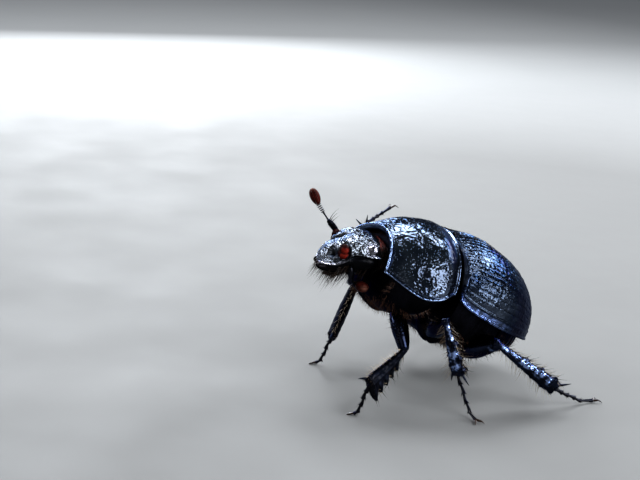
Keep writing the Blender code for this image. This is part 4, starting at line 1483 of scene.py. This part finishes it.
def make_head_hairs():
    down, lean = Vector((0, -0.12, -0.22)), Vector((0, -0.50, -1.0))
    hairs = []
    for side in (1, -1):
        under = math.pi - side * 0.75
        spots = patch(under - 0.6, under + 0.6, 0.10, 0.50, 46)
        hairs += column(roots(head_surface, spots, 1.00, 0.033, 0.30, 0.0, down, 0.35, lean), 0, 4)
        spots = patch(under - 0.3, under + 0.45, 0.3, 0.7, 30)
        hairs += column(roots(head_surface, spots, 0.70, 0.028, 0.35, 0.0, down, 0.35, lean), 1, 4)
        spots = patch(math.pi - 0.8, math.pi + 0.8, 0.05, 0.70, 34)
        hairs += column(roots(jaw_surface(side), spots, 0.95, 0.031, 0.3, 0.0, down, 0.4, lean), 2, 4)
        spots = patch(math.pi - 1.0, math.pi + 1.0, 0.0, 0.9, 16)
        hairs += column(roots(palp_surface(side), spots, 0.85, 0.028, 0.3, 0.0, down, 0.4, lean), 3, 4)
    hairs = [hair for hair in hairs if (HEAD @ hair_tip(hair)).y > CAD_BOX[0][1] - 0.1 * MM]
    brush("bristles_mouth", hairs, HEAD, HAIR_BLACK)
    hairs = roots(head_surface, patch(0.9, 5.4, 0.86, 0.985, 420), 0.24, 0.012, 0.8, 0.4)
    brush("hairs_nape", hairs, HEAD, HAIR_BROWN)
    for name in ANTENNAE:
        scape, bend, elbow, neck, tip = antenna_lines(name)
        hairs = roots(scape, patch(0, 2 * math.pi, 0.45, 0.96, 14), 0.26, 0.011, 0.8, 0.7)
        for at, reach in ((0.0, 1.0), (0.12, 0.9), (0.26, 0.75)):
            root = elbow.lerp(bend, at) + SETA_WAY * 0.10
            way = (SETA_WAY + (bend - elbow) * (at - 0.05)).normalized()
            hairs.append((root, way, reach, 0.042, Vector((0, 0.30, -0.10)), (0.5, 0.9)))
        stem = line_surface([elbow, elbow.lerp(neck, 0.5), neck], [0.07, 0.07, 0.10])
        hairs += roots(stem, patch(0, 2 * math.pi, 0.3, 0.98, 22), 0.15, 0.009, 0.7, 0.6)
        brush("setae_antenna_" + name, hairs, HEAD, HAIR_BLACK)


def make_trunk_hairs():
    down = Vector((0, 0.05, -0.15))
    hairs = roots(PROTHORAX, patch(2.2, 4.1, 0.02, 0.95, 700), 0.42, 0.014, 0.8, 0.3, down)
    hairs += roots(PROTHORAX, patch(-2.2, 2.2, 0.0, 0.05, 260), 0.34, 0.013, 0.5, -0.8)
    brush("hairs_chest", hairs, TRUNK, HAIR_BROWN)
    hairs = roots(HIND_THORAX, patch(2.1, 4.2, 0.04, 0.96, 800), 0.36, 0.013, 0.8, 0.5, down)
    brush("hairs_breast", hairs, TRUNK, HAIR_BROWN)
    hairs = []
    for i in range(BELLY_SEGMENTS + 1):
        share = 0.06 + 0.15 * i
        for turn, at in strip(math.pi, share, share + 0.03, 70, 0.85):
            if share < 0.97:
                hairs += roots(ABDOMEN, [(turn, min(0.97, at))], 0.30, 0.012, 0.5, 0.8, down)
    hairs += roots(ABDOMEN, patch(1.7, 4.6, 0.88, 0.985, 130), 0.70, 0.014, 0.6, 0.8, down)
    brush("hairs_belly", hairs, TRUNK, HAIR_BROWN)


def make_leg_hairs(leg):
    kind, coxa, knee, ankle, outward = leg_joints(leg)
    heel, foot, lifted = leg_foot(leg)
    outer, inner = math.pi / 2, -math.pi / 2
    femur, tibia = femur_surface(leg), tibia_surface(leg)
    dark, gold = [], []
    dark += column(roots(femur, strip(inner, 0.12, 0.85, 48, 0.30), 0.50, 0.014, 0.8, 0.35), 0, 3)
    dark += column(roots(femur, strip(outer, 0.20, 0.80, 24, 0.30), 0.30, 0.013, 0.7, 0.6), 0, 3)
    if kind == "front":
        for turn in (0.0, math.pi):
            spots = patch(turn - 0.5, turn + 0.5, 0.08, 0.34, 90)
            dark += column(roots(femur, spots, 0.20, 0.011, 0.7, 0.5), 0, 3)
    long = 0.55 if kind == "front" else 0.95
    gold += roots(tibia, strip(inner, 0.06, 0.96, 50, 0.22), long, 0.017, 0.9, 0.75, uneven=0.3)
    gold += roots(tibia, strip(outer, 0.15, 0.96, 22, 0.25), long * 0.85, 0.016, 0.9, 0.75, uneven=0.3)
    bristly = roots(tibia, strip(outer, 0.06, 0.96, 40, 0.20), 0.66, 0.026, 0.8, 0.8)
    bristly += roots(tibia, strip(0.35, 0.12, 0.96, 22, 0.15), 0.24, 0.015, 0.6, 0.8)
    bristly += roots(tibia, strip(math.pi - 0.35, 0.12, 0.96, 22, 0.15), 0.24, 0.015, 0.6, 0.8)
    bristly += roots(tibia, patch(0, 2 * math.pi, 0.955, 0.985, 22), 0.30, 0.022, 0.35, 0.95, uneven=0.15)
    dark += column(bristly, 1, 3)
    for i in range(4):
        start, end = ankle.lerp(heel, i / 4), ankle.lerp(heel, (i + 1) / 4)
        joint = line_surface([start, start.lerp(end, 0.5), end], [0.08, 0.11, 0.15])
        spots = patch(0, 2 * math.pi, 0.80, 0.97, 9)
        dark += column(roots(joint, spots, 0.24, 0.014, 0.45, 0.9, uneven=0.15), 2, 3)
    toe = line_surface([heel, heel.lerp(foot, 0.5), foot], [0.07, 0.09, 0.11])
    dark += column(roots(toe, patch(0, 2 * math.pi, 0.85, 0.97, 4), 0.20, 0.010, 0.5, 0.9), 2, 3)
    if not lifted:
        dark, gold = ([hair for hair in hairs if hair_tip(hair).z > 0.03] for hairs in (dark, gold))
    brush("bristles_" + leg, dark, FLOOR, HAIR_BLACK)
    brush("fringe_" + leg, gold, FLOOR, HAIR_GOLD)


# Setting


def make_floor():
    """A plain floor that grows paler far from the beetle, where no light is near."""
    obj = primitive("floor", bpy.ops.mesh.primitive_plane_add, size=1.2)
    made = Finish("floor_pale", specular_ior_level=0.25)
    shade = made.spread(made.noise(60.0, 3.0), 0.3, 0.7)
    away = made.node("ShaderNodeVectorMath", {"operation": "LENGTH"})
    made.tree.links.new(made.place, away.inputs[0])
    far = made.spread(away.outputs["Value"], 70.0, 330.0)
    near_colour = made.mix(shade, (0.118, 0.116, 0.113), (0.130, 0.128, 0.125))
    colour = made.mix(far, near_colour, (0.75, 0.75, 0.75))
    obj.data.materials.append(made.set(colour, made.spread(made.noise(9.0), 0.3, 0.7, 0.70, 0.85)))


SKY = (0.90, 0.95, 1.0)
WARM = (1.0, 0.97, 0.93)
# Name, azimuth and elevation seen from the beetle, distance and size in mm, power in watts, colour
LIGHTS = [
    ("light_back_left", -118, 48, 150, (34, 50), 0.150, SKY),
    ("light_back_middle", -146, 54, 150, (14, 16), 0.020, SKY),
    ("light_back_high", -166, 55, 150, (20, 28), 0.040, SKY),
    ("light_back_right", -166, 28, 150, (74, 40), 0.270, SKY),
    ("light_front_top", -78, 51, 150, (46, 40), 0.200, SKY),
    ("light_front_low", -101, 14, 150, (62, 34), 0.180, SKY),
    ("light_collar", -62, 7, 150, (30, 20), 0.022, SKY),
    ("light_face", -36, 27, 150, (44, 36), 0.145, SKY),
    ("light_tail_side", 116, 41, 150, (96, 74), 0.270, SKY),
    ("light_low_side", 134, 12, 150, (80, 32), 0.095, SKY),
    ("light_near_side", 92, 12, 150, (36, 24), 0.035, SKY),
    ("light_fill", 25, 32, 260, (140, 120), 0.030, WARM),
]
LIT_PLACE = Vector((0, -0.001, 0.007))


def make_light(name, azimuth, elevation, distance, size, power, colour):
    """A square soft light that faces the beetle."""
    data = bpy.data.lights.new(name, "AREA")
    data.shape = "RECTANGLE"
    data.size, data.size_y = size[0] * MM, size[1] * MM
    data.energy, data.color = power, colour
    turn, rise = math.radians(azimuth), math.radians(elevation)
    way = Vector((math.sin(turn) * math.cos(rise), -math.cos(turn) * math.cos(rise), math.sin(rise)))
    obj = bpy.data.objects.new(name, data)
    bpy.context.scene.collection.objects.link(obj)
    obj.location = LIT_PLACE + way * distance * MM
    obj.visible_camera = False
    obj.rotation_euler = way.to_track_quat("Z", "Y").to_euler()


def make_world():
    """A dim, faintly blue light from all round."""
    world = bpy.data.worlds.new("studio")
    bpy.context.scene.world = world
    world.use_nodes = True
    background = world.node_tree.nodes["Background"]
    background.inputs["Color"].default_value = (0.80, 0.88, 1.0, 1.0)
    background.inputs["Strength"].default_value = 0.10
    bpy.context.scene.view_settings.view_transform = "Standard"


def make_camera():
    """A long lens a little above the beetle, to its front left."""
    data = bpy.data.cameras.new("camera")
    data.lens, data.sensor_width = 87.3, 36.0
    data.clip_start, data.clip_end = 0.005, 5.0
    place, aim = Vector((82.72, -51.21, 35.01)), Vector((-3.33, -7.06, 8.67))
    leaning_up = Vector((-0.2817, 0.0755, 0.9565))
    back = (place - aim).normalized()
    right = leaning_up.cross(back).normalized()
    turn = Matrix((right, back.cross(right), back)).transposed()
    obj = bpy.data.objects.new("camera", data)
    bpy.context.scene.collection.objects.link(obj)
    obj.matrix_world = Matrix.Translation(place * MM) @ turn.to_4x4()
    bpy.context.scene.camera = obj


make_pronotum()
make_wing_case("elytron_left", 1)
make_wing_case("elytron_right", -1)
make_scutellum()
make_trunk()
make_head()
make_neck()
make_eye("eye_left", 1)
make_eye("eye_right", -1)
make_mouth()
for antenna in ANTENNAE:
    make_antenna(antenna)
for leg_name in LEGS:
    make_femur(leg_name)
    make_tibia(leg_name)
    make_foot(leg_name)
    make_claws(leg_name)
make_head_hairs()
make_trunk_hairs()
for leg_name in LEGS:
    make_leg_hairs(leg_name)
make_floor()
for light in LIGHTS:
    make_light(*light)
make_world()
make_camera()
